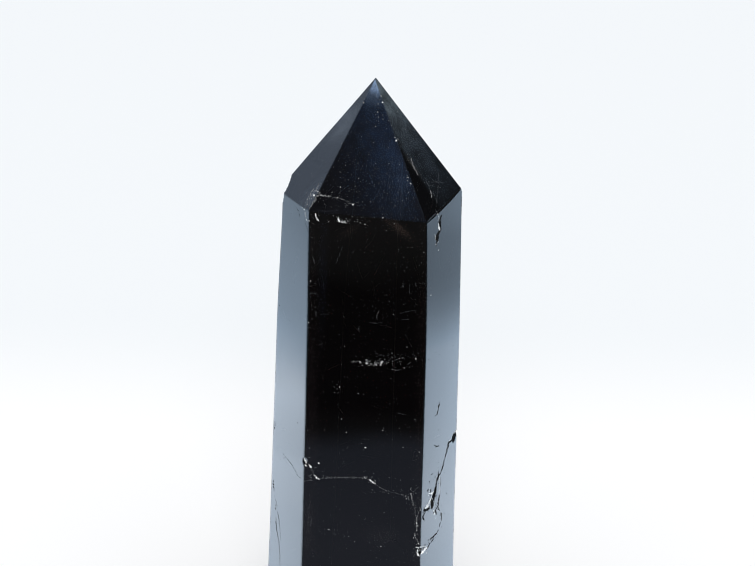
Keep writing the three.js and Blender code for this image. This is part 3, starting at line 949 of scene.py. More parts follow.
# bright and grey flakes and dots: across, drop, length and width in mm, turn in degrees, shade. Some
# places here and in darkFlakes were worked out by a scratch program in the same way
paleFlakes = [
    ("front", True, [
        (-4.0, 15.6, 0.34, 0.26, -40, 0.9), (-6.4, 14.7, 0.24, 0.2, 0, 0.7),
        (-5.7, 14.9, 0.16, 0.14, 0, 0.45), (-7.8, 14.5, 0.3, 0.24, 0, 0.25),
        (-5.9, 13.4, 0.2, 0.14, 80, 0.5), (3.1, 7.7, 0.42, 0.26, 50, 0.9), (2.9, 7.3, 0.16, 0.2, 90, 0.4),
        (3.4, 7.5, 0.14, 0.3, 0, 0.3), (1.1, 2.9, 0.26, 0.24, 0, 0.9), (0.9, 2.1, 0.22, 0.18, 0, 0.5),
        (0.3, 4.1, 0.2, 0.18, 0, 0.4), (0.4, 3.1, 0.16, 0.16, 0, 0.3), (-0.1, 5.9, 0.22, 0.18, 0, 0.2),
        (1.1, 5.0, 0.14, 0.2, 0, 0.16), (2.4, 5.8, 0.16, 0.2, 0, 0.14), (2.0, 5.2, 0.2, 0.14, 0, 0.14),
        (-0.5, 7.9, 0.2, 0.14, 0, 0.16), (4.8, 12.3, 0.2, 0.18, 0, 0.4), (5.2, 13.1, 0.26, 0.18, -30, 0.6),
        (4.7, 12.7, 0.14, 0.12, 0, 0.25), (3.8, 15.2, 0.22, 0.2, 0, 0.12), (-1.9, 2.9, 0.3, 0.3, 0, 0.16),
        (0.0, 0.9, 0.5, 0.16, 80, 0.02)]),
    ("frontLeft", True, [
        (6.8, 14.6, 0.59, 0.36, 0, 1), (6.9, 14.0, 0.56, 0.26, 20, 0.3), (7.6, 14.1, 0.42, 0.2, 0, 0.25),
        (6.1, 15.5, 0.34, 0.22, 0, 0.2), (6.9, 15.9, 0.34, 0.22, 0, 0.16),
        (6.8, 16.6, 0.45, 0.28, 0, 0.55), (6.2, 16.6, 0.28, 0.2, 0, 0.3)]),
    ("front", False, [
        (-3.8, 18.0, 0.24, 0.22, 0, 0.16), (-5.6, 17.3, 0.16, 0.14, 0, 0.12),
        (-4.1, 17.6, 0.18, 0.12, 0, 0.14), (-3.1, 17.2, 0.26, 0.16, 0, 0.08),
        (-2.3, 17.7, 0.24, 0.16, 0, 0.08), (-1.1, 18.5, 0.18, 0.2, 0, 0.6),
        (1.7, 17.3, 0.26, 0.18, 0, 0.45), (-9.9, 18.1, 0.22, 0.22, 0, 0.3),
        (-9.4, 21.1, 0.16, 0.16, 0, 0.14), (-2.1, 43.2, 0.26, 0.16, 0, 0.1),
        (-1.4, 43.3, 0.16, 0.2, 0, 0.4), (-0.4, 43.4, 0.4, 0.24, -4, 1), (-0.2, 43.0, 0.14, 0.14, 0, 0.4),
        (0.0, 43.8, 0.3, 0.12, 10, 0.28), (0.3, 43.5, 0.12, 0.3, 10, 0.3),
        (0.9, 43.3, 0.22, 0.14, -40, 0.35), (1.0, 43.6, 0.2, 0.12, 20, 0.28),
        (4.8, 42.4, 0.18, 0.22, 0, 0.28), (5.3, 42.3, 0.4, 0.16, 6, 0.12), (7.4, 42.4, 0.17, 0.34, 0, 0.9),
        (3.7, 44.4, 0.18, 0.18, 0, 0.14), (5.6, 44.1, 0.22, 0.34, 0, 0.1),
        (3.6, 41.5, 0.16, 0.36, 10, 0.07), (2.3, 42.0, 0.14, 0.3, 10, 0.05),
        (-7.7, 61.7, 0.34, 0.26, -30, 0.85), (5.7, 67.2, 0.16, 0.14, 0, 0.3),
        (6.3, 67.4, 0.2, 0.16, 0, 0.35), (6.4, 67.9, 0.2, 0.16, 0, 0.35), (7.9, 74.5, 0.3, 0.3, 0, 0.25),
        (7.7, 75.0, 0.18, 0.22, 0, 0.35), (8.5, 76.0, 0.2, 0.2, 0, 0.6), (8.7, 69.9, 0.2, 0.2, 0, 0.4),
        (-9.5, 28.8, 0.16, 0.2, 0, 0.35), (-9.7, 36.3, 0.2, 0.18, 0, 0.4), (4.3, 22.9, 0.16, 0.14, 0, 0.1),
        (8.3, 23.3, 0.12, 0.2, 0, 0.16), (3.0, 32.2, 0.12, 0.2, 0, 0.1), (3.7, 34.5, 0.24, 0.24, 0, 0.14),
        (-4.6, 47.8, 0.14, 0.34, 0, 0.4), (-5.4, 48.8, 0.2, 0.14, 0, 0.12),
        (-1.6, 48.9, 0.3, 0.24, 0, 0.08), (-4.2, 53.6, 0.24, 0.22, 0, 0.12),
        (7.5, 53.4, 0.18, 0.2, 0, 0.12), (-3.4, 56.0, 0.16, 0.14, 0, 0.65), (2.4, 55.5, 0.2, 0.2, 0, 0.35),
        (-0.3, 58.7, 0.2, 0.28, 80, 0.95), (5.7, 58.5, 0.3, 0.18, 0, 0.08),
        (8.3, 59.3, 0.12, 0.24, 0, 0.3), (-9.2, 59.0, 0.2, 0.16, 0, 0.14), (-9.2, 60.7, 0.2, 0.16, 0, 0.1),
        (-5.9, 73.8, 0.46, 0.22, -10, 0.14), (2.5, 76.7, 0.2, 0.22, 0, 0.3),
        (3.6, 64.1, 0.26, 0.1, 0, 0.1), (-2.7, 75.0, 0.24, 0.16, 0, 0.06)]),
    ("frontRight", False, [
        (-4.8, 17.8, 0.38, 0.2, 0, 0.35), (-4.5, 22.9, 0.42, 0.12, 0, 0.5),
        (-2.5, 72.5, 0.34, 0.2, 0, 0.85), (0.6, 61.1, 0.57, 0.2, 0, 0.6), (2.3, 60.6, 0.46, 0.14, 30, 0.9),
        (-6.5, 31.5, 0.3, 0.2, 0, 0.5), (-5.5, 67.5, 0.38, 0.16, 0, 0.5), (-6.7, 70.0, 0.34, 0.24, 0, 0.7),
        (-6.8, 72.2, 0.3, 0.14, 0, 0.6)]),
]

# small dark pits on the side faces, near black for the painted shade inside them
darkFlakes = [
    ("frontRight", False, [
        (-4.8, 64.7, 0.65, 0.26, 0, 0.02), (0.0, 70.5, 0.23, 0.26, 0, 0.03),
        (-6.8, 42.9, 0.38, 0.18, 0, 0.02), (-1.4, 73.6, 0.42, 0.26, 0, 0.02),
        (-1.8, 75.2, 0.46, 0.26, 0, 0.02), (-3.1, 76.6, 0.49, 0.22, 0, 0.02),
        (-4.5, 76.6, 0.38, 0.24, 0, 0.02), (-5.4, 76.5, 0.42, 0.2, 0, 0.02),
        (-3.7, 77.0, 0.38, 0.2, 0, 0.02), (0.2, 61.2, 0.57, 0.26, 0, 0.01),
        (-0.3, 62.3, 0.46, 0.3, 0, 0.01), (-0.7, 63.2, 0.46, 0.26, 0, 0.01),
        (-1.6, 65.0, 0.46, 0.24, 0, 0.01), (-3.1, 57.4, 0.27, 0.14, 0, 0.03),
        (-3.0, 63.4, 0.27, 0.2, 0, 0.03), (0.8, 43.9, 0.3, 0.16, 0, 0.03),
        (-4.7, 42.6, 0.3, 0.14, 0, 0.03), (-3.6, 43.5, 0.3, 0.14, 0, 0.03)]),
    ("frontLeft", False, [
        (5.0, 55.5, 0.38, 0.2, 0, 0.05), (0.8, 63.3, 0.42, 0.24, 0, 0.03), (7.2, 60.8, 0.38, 0.3, 0, 0.03),
        (1.9, 38.5, 0.27, 0.16, 0, 0.05), (2.8, 45.7, 0.23, 0.14, 0, 0.05),
        (-1.7, 37.4, 0.23, 0.3, 0, 0.05)]),
]

# wear on the sides away from the front: strokes that wander from a random start
wearPlan = {
    "seed": 37,
    "strokes": {"back": 26, "backLeft": 18, "backRight": 18},
    "tipStrokes": {"back": 6, "backLeft": 4, "backRight": 4},
    "across": 2.5,         # mm each way where they start, and twice that on the shaft
    "drops": (20, 96),
    "tipDrops": (7, 14),
    "legs": (2, 5),
    "leg": (0.3, 1.2),     # mm
    "turn": 18,            # degrees
    "width": (0.08, 0.24),
    "shade": (0.05, 0.6),
}


def hiddenStrokes(plan, dice):
    # a random walk from a random place: each leg turns off the last by up to the plan's turn
    groups = []
    for tipFacet, counts, drops in ((False, plan["strokes"], plan["drops"]),
                                    (True, plan["tipStrokes"], plan["tipDrops"])):
        for side, count in counts.items():
            rows = []
            for _ in range(count):
                across = dice.uniform(-plan["across"], plan["across"]) * (2 - tipFacet)
                drop = dice.uniform(*drops)
                way = dice.uniform(0, math.tau)
                path = [(across, drop)]
                for _ in range(dice.integers(*plan["legs"])):
                    way += math.radians(dice.uniform(-plan["turn"], plan["turn"]))
                    leg = dice.uniform(*plan["leg"])
                    across, drop = across + leg * math.cos(way), drop + leg * math.sin(way)
                    path.append((across, drop))
                rows.append((dice.uniform(*plan["width"]), dice.uniform(*plan["shade"]), path))
            groups.append((side, tipFacet, None, rows))
    return groups


sprinklePlan = {
    "least": 0.08,      # mm, the smallest flake
    "sizePower": 1.5,
    "dimmest": 0.1,     # of the brightest shade
    "slim": (0.5, 1),   # width against length
    "ownShare": 0.5,    # share of its face in the skin that a flake needs
}

# sprinkles: loose clusters of small flakes round the cracks and chips. Each row is the middle's across
# and drop, the spread both ways in mm, how many, the largest size in mm and the brightest shade
paleClusters = [
    ("front", False, [
        (0.2, 43.35, 1.7, 0.3, 46, 0.2, 0.8), (4.9, 42.7, 1.9, 0.9, 46, 0.17, 0.35),
        (1.6, 42.2, 1.0, 0.9, 26, 0.16, 0.12), (-4.3, 18.1, 1.1, 0.35, 26, 0.2, 0.5),
        (-1.4, 17.6, 2.4, 0.35, 22, 0.16, 0.3), (-8.7, 17.7, 0.5, 0.6, 10, 0.14, 0.3),
        (5.6, 30.2, 2.2, 2.2, 50, 0.13, 0.08), (1.0, 34.2, 2.2, 2.2, 36, 0.13, 0.07),
        (-9.2, 30.5, 0.5, 5.0, 26, 0.16, 0.16), (8.6, 27.0, 0.5, 6.0, 26, 0.14, 0.14),
        (-3.6, 64.3, 3.4, 0.12, 44, 0.15, 0.5), (4.0, 66.7, 2.6, 0.4, 36, 0.15, 0.3),
        (-8.6, 63.6, 0.8, 0.9, 30, 0.16, 0.3), (7.7, 68.6, 0.6, 1.9, 50, 0.14, 0.2),
        (8.1, 72.8, 0.3, 1.8, 40, 0.15, 0.3), (8.2, 76.6, 0.4, 1.1, 24, 0.16, 0.5),
        (0.9, 64.9, 0.5, 0.3, 12, 0.2, 0.6), (-6.2, 74.2, 1.4, 0.5, 16, 0.15, 0.12),
        (-9.4, 74.0, 0.4, 3.0, 26, 0.14, 0.14), (2.6, 75.5, 1.4, 1.4, 34, 0.14, 0.1),
        (-4.9, 48.2, 0.5, 0.6, 12, 0.14, 0.2)]),
    ("front", True, [
        (-7.6, 14.6, 1.3, 0.2, 24, 0.14, 0.3), (-4.6, 15.4, 0.6, 0.2, 10, 0.14, 0.4),
        (0.6, 3.2, 0.6, 1.0, 18, 0.16, 0.5), (2.6, 12.4, 3.4, 1.8, 80, 0.12, 0.14),
        (-2.2, 12.0, 2.4, 2.2, 50, 0.12, 0.12), (4.4, 12.8, 0.6, 1.2, 14, 0.16, 0.4)]),
    ("frontLeft", True, [(6.4, 14.8, 0.6, 0.7, 40, 0.22, 0.8), (6.9, 16.1, 0.4, 0.5, 14, 0.2, 0.4)]),
    ("frontRight", True, [(-0.6, 11.6, 1.4, 3.0, 46, 0.16, 0.12), (-1.7, 14.6, 0.5, 0.9, 16, 0.16, 0.3)]),
    # round the dark cracks and pits of the right face the pale flakes are partly white crushed quartz and
    # partly a painted highlight for the light their broken lips catch
    ("frontRight", False, [
        (-5.2, 69.0, 0.5, 0.9, 26, 0.4, 0.95), (-2.9, 70.5, 0.8, 1.4, 24, 0.26, 0.8),
        (-6.6, 77.5, 0.9, 0.4, 26, 0.34, 0.9), (-4.4, 20.2, 0.3, 0.8, 12, 0.3, 0.9),
        (-5.0, 22.4, 0.4, 0.9, 12, 0.26, 0.6), (1.0, 61.2, 0.8, 0.3, 10, 0.3, 0.7)]),
]
# dark specks round the dark cracks, near black for the painted shade in them
darkClusters = [
    ("frontRight", False, [
        (-4.4, 69.2, 0.6, 1.1, 40, 0.6, 0.02), (-3.0, 71.4, 0.8, 1.0, 26, 0.4, 0.03),
        (-6.2, 70.8, 0.7, 0.5, 18, 0.46, 0.02), (-4.4, 76.9, 1.2, 0.4, 30, 0.36, 0.04),
        (-2.2, 65.4, 0.8, 1.2, 18, 0.3, 0.04), (-3.2, 66.6, 0.4, 0.7, 18, 0.44, 0.03),
        (-7.0, 77.3, 0.8, 0.3, 12, 0.4, 0.04), (-1.6, 74.2, 0.5, 1.2, 16, 0.3, 0.04)]),
    ("frontLeft", False, [(3.2, 64.0, 2.2, 0.4, 14, 0.2, 0.05), (-1.0, 77.0, 0.5, 3.4, 18, 0.24, 0.05)]),
]


def ownPlaces(points, side, tipFacet, least):
    # marks the points that did settle on the skin, where the face's share in it is over the least
    value, _, shares = skinGap(points)
    return (shares[:, planeOf(side, tipFacet)] > least) & (abs(value) < onSkinWithin * mm)


def sprinkled(groups, plan, dice):
    # places round each middle are normal; sizes and shades lean to the small end, by a power and a square
    found = []
    for side, tipFacet, rows in groups:
        for across, drop, wide, tall, count, size, shade in rows:
            points, normals = onSkin(side, across + wide * dice.normal(size=count),
                                     drop + tall * dice.normal(size=count), tipFacet)
            own = ownPlaces(points, side, tipFacet, plan["ownShare"])
            length = plan["least"] + (size - plan["least"]) * dice.uniform(size=count) ** plan["sizePower"]
            light = shade * (plan["dimmest"] + (1 - plan["dimmest"]) * dice.uniform(size=count) ** 2)
            parts = (points, normals, length, length * dice.uniform(*plan["slim"], count),
                     dice.uniform(0, 180, count), light)
            found.append([part[own] for part in parts])
    return joined(*found)


paleDice = np.random.default_rng(strokePlan["paleSeed"])
darkDice = np.random.default_rng(strokePlan["darkSeed"])
wearDice = np.random.default_rng(wearPlan["seed"])
wear = strungFlakes(hiddenStrokes(wearPlan, wearDice), strokePlan, wearDice)
paleCracks = joined(strungFlakes(paleStrokes, strokePlan, paleDice), wear)
flaw(flakeMesh("paleCracks", paleCracks, paleBreak))
beaded = {**strokePlan, "fine": 0.45, "gaps": 0.4, "fineShade": 1.0}
darkCracks = strungFlakes(darkStrokes, beaded, darkDice)
flaw(flakeMesh("darkCracks", darkCracks, paintedShadeBreak))
paleSpots = joined(placedFlakes(paleFlakes), sprinkled(paleClusters, sprinklePlan, paleDice))
flaw(flakeMesh("paleFlakes", paleSpots, paleBreak))
darkSpots = joined(placedFlakes(darkFlakes), sprinkled(darkClusters, sprinklePlan, darkDice))
flaw(flakeMesh("darkFlakes", darkSpots, paintedShadeBreak))

# painted edge shade: the arrises on the outline and the right shoulder edge get strips of near-black matt
# flakes that take no shine, painting the dark line these edges show
edgeShadePlan = {
    "seed": 38,
    "width": (0.17, 0.26),  # mm
    "spacing": 0.12,
    "length": 0.3,
    "turn": 4,              # degrees that a flake turns off the edge
    "foot": 0.8,            # mm kept clear above the foot and under the shoulder
    "top": 1.2,
    "shade": (0.01, 0.08),
    "edges": (("frontLeft", "backLeft"), ("frontRight", "backRight"),
              ("back", "backLeft"), ("back", "backRight")),
    "shoulder": (-7.3, 3.0),  # mm across the right face that its shoulder edge runs
    "shoulderWidth": (0.26, 0.32),
    "shoulderShade": (0.0, 0.008),
    "shoulderUp": ((-7.3, -4.0, 0.5), (-0.17, -0.08, 0.05)),  # places across and mm up the tip facet
}


def edgeShadeFlakes(plan):
    # flakes one after another down each of the plan's shaft edges, where the two planes meet, and along the
    # right shoulder edge, the line that lies in both the shaft's plane and the tip facet's, raised a little
    # up the tip facet
    dice = np.random.default_rng(plan["seed"])
    found = []

    def lay(place, outward, turnOf, width, shade):
        # flakes at the places, settled on the skin along the way outwards
        outward = unit(outward)
        points, normals = settle(place, np.broadcast_to(outward, place.shape))
        count = len(place)
        found.append((points, normals, np.full(count, plan["length"]), dice.uniform(*width, count),
                      turnOf(normals) + dice.normal(size=count) * plan["turn"],
                      dice.uniform(*shade, count)))

    z = np.arange(plan["foot"], shoulder / mm - plan["top"], plan["spacing"]) * mm
    for side, other in plan["edges"]:
        first, second = sideNames.index(side), sideNames.index(other)
        edge = max(first, second) if abs(first - second) > 1 else min(first, second)
        lay(np.concatenate([edgesAt(z)[:, edge], z[:, None]], axis=1),
            planes[first, :3] + planes[second, :3], lambda normals: 90, plan["width"], plan["shade"])

    # the right shoulder edge: the darkest strip, painted shade
    pair = planes[[planeOf("frontRight"), planeOf("frontRight", True)]]
    ways, along = pair[:, :3], np.cross(pair[0, :3], pair[1, :3])
    across = np.arange(*plan["shoulder"], plan["spacing"]) * mm
    start = tip + levelOf(planeOf("frontRight")) * across[:, None]
    gap = pair[:, 3] - start @ ways.T
    climb = np.cross(ways[1], unit(along))
    climb = climb * (np.sign(climb[2]) * np.interp(across / mm, *plan["shoulderUp"]) * mm)[:, None]

    def edgeTurn(normals):
        level, upright = acrossAndUp(normals)
        return np.degrees(np.arctan2(upright @ along, level @ along))

    lay(start + gap @ np.linalg.inv(ways @ ways.T) @ ways + climb, ways.sum(0), edgeTurn,
        plan["shoulderWidth"], plan["shoulderShade"])
    return joined(*found)


flaw(flakeMesh("paintedEdgeShade", edgeShadeFlakes(edgeShadePlan), paintedShadeBreak))

# dust and pin-point flaws, counted for each face
dustPlan = {
    "seed": 35,
    "size": (0.05, 0.12),  # mm
    "tipFacet": {"front": 420, "frontRight": 130, "frontLeft": 90,
                 "back": 120, "backLeft": 70, "backRight": 70},
    "shaft": {"front": 600, "frontRight": 110, "frontLeft": 90,
              "back": 260, "backLeft": 160, "backRight": 160},
    "shade": (0.02, 0.45),
    "across": (-12, 12),   # mm
    "tipDrops": (1, 18),
    "shaftDrops": (17, 99),
    "tries": 3,            # places drawn for each speck
    "ownShare": 0.98,      # share of its face in the skin that a speck needs
}


def dustSpots(plan):
    # seeded places in each face's box of across and drop, kept where that face has the skin to
    # itself; sizes and shades lean to the small end: least + range times a random number to the
    # third or fourth power
    dice = np.random.default_rng(plan["seed"])
    found = []
    for tipFacet, counts, drops in ((True, plan["tipFacet"], plan["tipDrops"]),
                                    (False, plan["shaft"], plan["shaftDrops"])):
        for side, count in counts.items():
            tries = count * plan["tries"]
            across, drop = dice.uniform(*plan["across"], tries), dice.uniform(*drops, tries)
            points, normals = onSkin(side, across, drop, tipFacet)
            alone = ownPlaces(points, side, tipFacet, plan["ownShare"])
            points, normals = points[alone][:count], normals[alone][:count]
            least, most = plan["size"]
            size = least + (most - least) * dice.uniform(size=len(points)) ** 3
            dim, bright = plan["shade"]
            shade = dim + (bright - dim) * dice.uniform(size=len(points)) ** 4
            found.append((points, normals, size, size, np.zeros(len(size)), shade))
    return joined(*found)


flaw(flakeMesh("dust", dustSpots(dustPlan), paleBreak))
print("flaws made")

# floor and light

floorPlan = {
    "reach": 8,         # m each way
    "near": "#fdfdfd",
    "far": "#f1f4f6",
    "brightTo": 0.062,  # m behind the crystal's upright, where the painted fall-off of the light starts to grey the paper
    "dullFrom": 0.108,
    "farFrom": 0.6,     # m out, where it does so all round
    "farTo": 4,
}


def paperFloor(plan):
    # matt white paper, painted a touch greyer where it runs back and far out: a painted fall-off of the light
    material, add = newMaterial("white paper floor with painted falloff")
    look = add("TexCoord")
    parts = add("SeparateXYZ", {0: look.outputs["Object"]})
    back = add("MapRange", {"Value": parts.outputs[1], "From Min": plan["brightTo"],
                            "From Max": plan["dullFrom"]}, interpolation_type="SMOOTHSTEP")
    out = add("VectorMath", {0: look.outputs["Object"]}, operation="LENGTH")
    paintedFarFalloff = add("MapRange", {"Value": out.outputs["Value"], "From Min": plan["farFrom"],
                               "From Max": plan["farTo"]}, interpolation_type="SMOOTHSTEP")
    paintedFalloff = add("Math", {0: back, 1: paintedFarFalloff}, operation="MAXIMUM")
    colour = add("Mix", {0: paintedFalloff, 6: linear(plan["near"]), 7: linear(plan["far"])}, data_type="RGBA")
    body = add("BsdfPrincipled", {"Base Color": colour.outputs[2], "Roughness": 0.9,
                                  "Specular IOR Level": 0.0})
    add("OutputMaterial", {"Surface": body})
    return material


def plate(name, corners, material):
    piece = putMesh(name, np.array(corners, float), np.array([[0, 1, 2, 3]]), np.empty((0, 3), int),
                    material, False)
    return piece


def levelPlate(name, xEnds, yEnds, height, material):
    (left, right), (near, far) = xEnds, yEnds
    corners = [(left, near, height), (right, near, height), (right, far, height), (left, far, height)]
    return plate(name, corners, material)


floorEnds = (-floorPlan["reach"], floorPlan["reach"])
levelPlate("floor", floorEnds, floorEnds, 0, paperFloor(floorPlan))

worldPlan = {
    "seen": "#edf1f4",               # as the far floor looks
    "soft": (0.962, 0.97, 0.985),    # what lights the floor and every rough surface
    "shineBack": (0.62, 0.76, 1.0),  # colours mirrored from behind and from in front
    "shineFront": (0.76, 0.81, 1.01),
    "acrossLevels": (1.25, 0.42),    # from far left to far right
    "acrossEnds": (-0.85, 0.85),     # of the way's x part, for these levels
    "frontLevel": 0.2,               # share kept in front
    "frontEnds": (-0.6, 0.2),        # of the way's y part, from in front to behind
}


def makeWorld(plan):
    world = bpy.data.worlds.new("studio")
    scene.world = world
    world.use_nodes = True
    add = nodeAdder(world.node_tree)
    seen = add("Background", {"Color": linear(plan["seen"]), "Strength": 1.0})
    soft = add("Background", {"Color": (*plan["soft"], 1), "Strength": 1.0})
    look = add("TexCoord")
    parts = add("SeparateXYZ", {0: look.outputs["Generated"]})
    (fromLeft, toRight), (leftLevel, rightLevel) = plan["acrossEnds"], plan["acrossLevels"]
    across = add("MapRange", {"Value": parts, "From Min": fromLeft, "From Max": toRight,
                              "To Min": leftLevel, "To Max": rightLevel})
    front, back = plan["frontEnds"]
    ahead = add("MapRange", {"Value": parts.outputs[1], "From Min": front, "From Max": back})
    share = add("MapRange", {"Value": ahead, "To Min": plan["frontLevel"]})
    colour = add("Mix", {0: ahead, 6: (*plan["shineFront"], 1), 7: (*plan["shineBack"], 1)},
                 data_type="RGBA")
    level = add("Math", {0: across, 1: share}, operation="MULTIPLY")
    mirrored = add("Background", {"Color": colour.outputs[2], "Strength": level})
    path = add("LightPath")
    first = add("MixShader", {0: path.outputs["Is Glossy Ray"], 1: soft, 2: mirrored})
    second = add("MixShader", {0: path.outputs["Is Camera Ray"], 1: first, 2: seen})
    add("OutputWorld", {"Surface": second})


makeWorld(worldPlan)


lampPlan = {
    "place": (0, -0.6, 0.65),  # m
    "aim": (0, 0, 0.05),
    "size": 0.3,
    "watts": 1.2,
    "colour": (1.0, 0.99, 0.97),
}


def addLamp(name, plan):
    data = bpy.data.lights.new(name, "AREA")
    data.shape, data.size = "DISK", plan["size"]
    data.energy, data.color = plan["watts"], plan["colour"]
    lamp = bpy.data.objects.new(name, data)
    scene.collection.objects.link(lamp)
    lamp.location = plan["place"]
    lamp.rotation_euler = (Vector(plan["aim"]) - Vector(plan["place"])).to_track_quat("-Z", "Y").to_euler()
    lamp.visible_camera = lamp.visible_glossy = lamp.visible_transmission = False


addLamp("keyLamp", lampPlan)


# cards that only the polish mirrors: the lit paper round the crystal, the dark room in front of it
# and a dark flag to the right

poolPlan = {
    "height": 0.0005,      # m
    "reach": 2.0,          # m each way
    "rampReach": 0.4,      # m that the ramp spans, out from the crystal's upright
    "leftRamp": ((0.0, 0.8), (0.054, 0.855), (0.071, 0.925), (0.075, 0.87), (0.082, 0.88), (0.095, 0.96),
                 (0.109, 0.735), (0.117, 0.655), (0.125, 0.57), (0.141, 0.5), (0.157, 0.435), (0.24, 0.32),
                 (0.4, 0.26)),
    "rightRamp": ((0.0, 0.8), (0.043, 0.82), (0.055, 0.86), (0.07, 0.82), (0.084, 0.775), (0.097, 0.74),
                  (0.113, 0.705), (0.121, 0.54), (0.129, 0.385), (0.136, 0.31), (0.142, 0.285),
                  (0.157, 0.29), (0.165, 0.345), (0.175, 0.385), (0.2, 0.5), (0.26, 0.5), (0.34, 0.25),
                  (0.4, 0.2)),
    "dim": (0.61, 0.79, 1.0),     # colour where the glow is weak
    "bright": (0.725, 0.85, 1.0),  # and where it is full
    "strength": 4.5,
    "frontShare": 0.1,     # share of it kept on the paper in front of the crystal
    "frontFrom": -0.03,    # m, where it is down to that
    "leftTurn": 0.6,       # how far the lit part comes round on the left, m forward per m out
    "backShare": 0.3,      # share kept straight behind
    "backSlant": (0.3, 1.5),     # m out per m behind, from that share to all of it
    "sideBlend": 0.02,           # m each way in which the left ramp turns into the right one
    "whitening": (0.64, 0.88),   # glow from the dim colour to the bright one
}
frontPlan = {
    "height": 0.001,
    "left": -0.03,         # m; it thins away towards its left end
    "right": 0.1,
    "fullTo": 0.03,        # and from here to its right end
    "leftFade": 0.008,
    "nearFade": (0.09, 0.0),   # shares of the reach in which it thins away
    "farFade": (0.6, 1.0),
    "reach": 0.4,
    "ramp": ((0.0, (0.30, 0.33, 0.42)), (0.04, (0.28, 0.31, 0.40)), (0.072, (0.22, 0.25, 0.33)),
             (0.079, (0.07, 0.07, 0.075)), (0.087, (0.036, 0.03, 0.034)), (0.129, (0.036, 0.032, 0.034)),
             (0.139, (0.08, 0.08, 0.08)), (0.15, (0.11, 0.108, 0.11)), (0.4, (0.12, 0.12, 0.12))),
}


def setRamp(node, stops, reach):
    # stops are places, out of reach, with a grey level or a colour
    ramp = node.color_ramp
    while len(ramp.elements) < len(stops):
        ramp.elements.new(0.5)
    for element, (place, _) in zip(ramp.elements, stops):
        element.position = place / reach
    for element, (_, value) in zip(ramp.elements, stops):
        element.color = (*value, 1) if isinstance(value, tuple) else (value, value, value, 1)
    return node


def shineOnly(card):
    for kind in ("camera", "diffuse", "transmission", "volume_scatter", "shadow"):
        setattr(card, "visible_" + kind, False)


def poolGlow(plan):
    # the ramp of one side by the distance out, times a share that falls in front and straight behind
    material, add = newMaterial("lit paper glow")
    look = add("TexCoord")
    away = add("VectorMath", {0: look.outputs["Object"]}, operation="LENGTH")
    out = add("Math", {0: away.outputs["Value"], 1: plan["rampReach"]}, operation="DIVIDE", use_clamp=True)
    leftLevel = setRamp(add("ValToRGB", {0: out}), plan["leftRamp"], plan["rampReach"])
    rightLevel = setRamp(add("ValToRGB", {0: out}), plan["rightRamp"], plan["rampReach"])
    parts = add("SeparateXYZ", {0: look.outputs["Object"]})
    blend = plan["sideBlend"]
    side = add("MapRange", {"Value": parts, "From Min": -blend, "From Max": blend})
    share = add("Mix", {0: side, 2: leftLevel, 3: rightLevel})
    toLeft = add("Math", {0: parts, 1: 0.0}, operation="MINIMUM")
    turned = add("Math", {0: toLeft, 1: -plan["leftTurn"], 2: parts.outputs[1]}, operation="MULTIPLY_ADD")
    behind = add("MapRange", {"Value": turned, "From Min": plan["frontFrom"], "From Max": 0.0,
                              "To Min": plan["frontShare"] * plan["strength"], "To Max": plan["strength"]},
                 interpolation_type="SMOOTHSTEP")
    aside = add("Math", {0: parts}, operation="ABSOLUTE")
    depth = add("Math", {0: parts.outputs[1], 1: mm}, operation="MAXIMUM")
    slant = add("Math", {0: aside, 1: depth}, operation="DIVIDE")
    steep, flat = plan["backSlant"]
    wide = add("MapRange", {"Value": slant, "From Min": steep, "From Max": flat, "To Min": plan["backShare"]},
               interpolation_type="SMOOTHSTEP")
    kept = add("Math", {0: behind, 1: wide}, operation="MULTIPLY")
    strength = add("Math", {0: share, 1: kept}, operation="MULTIPLY")
    weak, full = plan["whitening"]
    whiter = add("MapRange", {"Value": share, "From Min": weak, "From Max": full})
    colour = add("Mix", {0: whiter, 6: (*plan["dim"], 1), 7: (*plan["bright"], 1)}, data_type="RGBA")
    glow = add("Emission", {"Color": colour.outputs[2], "Strength": strength})
    add("OutputMaterial", {"Surface": glow})
    return material


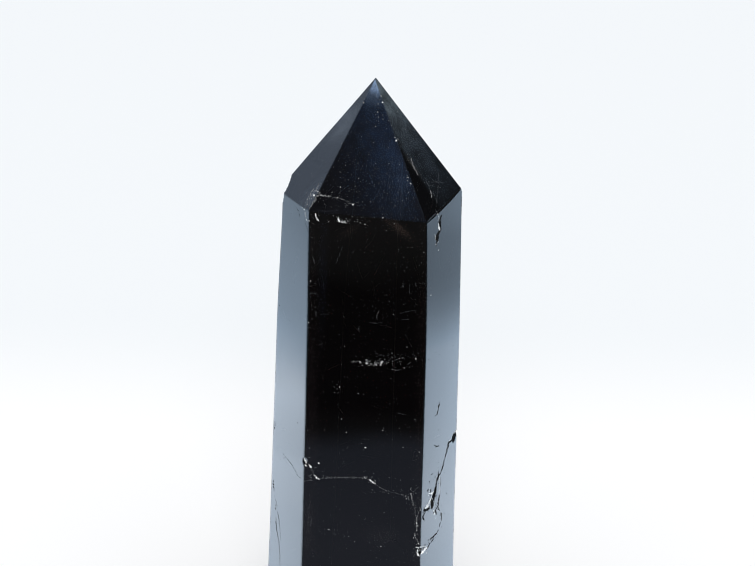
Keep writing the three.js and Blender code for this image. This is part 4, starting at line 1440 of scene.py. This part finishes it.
def frontGlow(plan):
    # the ramp by the distance out in front, clear wherever one of the four ends thins it away
    material, add = newMaterial("dark room glow")
    look = add("TexCoord")
    parts = add("SeparateXYZ", {0: look.outputs["Object"]})
    out = add("MapRange", {"Value": parts.outputs[1], "From Min": cadBox[0][1],
                           "From Max": cadBox[0][1] - plan["reach"]})
    level = setRamp(add("ValToRGB", {0: out}), plan["ramp"], plan["reach"])
    glow = add("Emission", {"Color": level, "Strength": 1.0})
    ends = ((parts, plan["fullTo"], plan["right"]),
            (parts, plan["left"] + plan["leftFade"], plan["left"]),
            (out, *plan["farFade"]), (out, *plan["nearFade"]))
    fades = [add("MapRange", {"Value": place, "From Min": full, "From Max": none},
                 interpolation_type="SMOOTHSTEP") for place, full, none in ends]
    gone = fades[0]
    for fade in fades[1:]:
        gone = add("Math", {0: gone, 1: fade}, operation="MAXIMUM")
    clear = add("BsdfTransparent")
    both = add("MixShader", {0: gone, 1: glow, 2: clear})
    add("OutputMaterial", {"Surface": both})
    return material


poolEnds = (-poolPlan["reach"], poolPlan["reach"])
shineOnly(levelPlate("litPaper", poolEnds, poolEnds, poolPlan["height"], poolGlow(poolPlan)))
front = cadBox[0][1]
shineOnly(levelPlate("darkRoom", (frontPlan["left"], frontPlan["right"]), (front - frontPlan["reach"], front),
                     frontPlan["height"], frontGlow(frontPlan)))

flagPlan = {
    "towards": (0.864, 0.307, 0.396),  # from the tip
    "distance": 0.25,
    "half": 0.09,     # m each way across
    "low": -0.14,     # and from its middle down and up
    "high": 0.09,
    "colour": (0.06, 0.064, 0.075),
}


def darkFlag(plan):
    # a plate across the way from the tip, level at its foot
    away = np.array(plan["towards"])
    level, upright = acrossAndUp(away)
    middle = tip + away * plan["distance"]
    half, low, high = plan["half"], plan["low"], plan["high"]
    corners = [middle + level * x + upright * y
               for x, y in ((-half, low), (half, low), (half, high), (-half, high))]
    material, add = newMaterial("dark flag")
    glow = add("Emission", {"Color": (*plan["colour"], 1), "Strength": 1.0})
    add("OutputMaterial", {"Surface": glow})
    shineOnly(plate("darkFlag", corners, material))


darkFlag(flagPlan)
print("floor and light set")
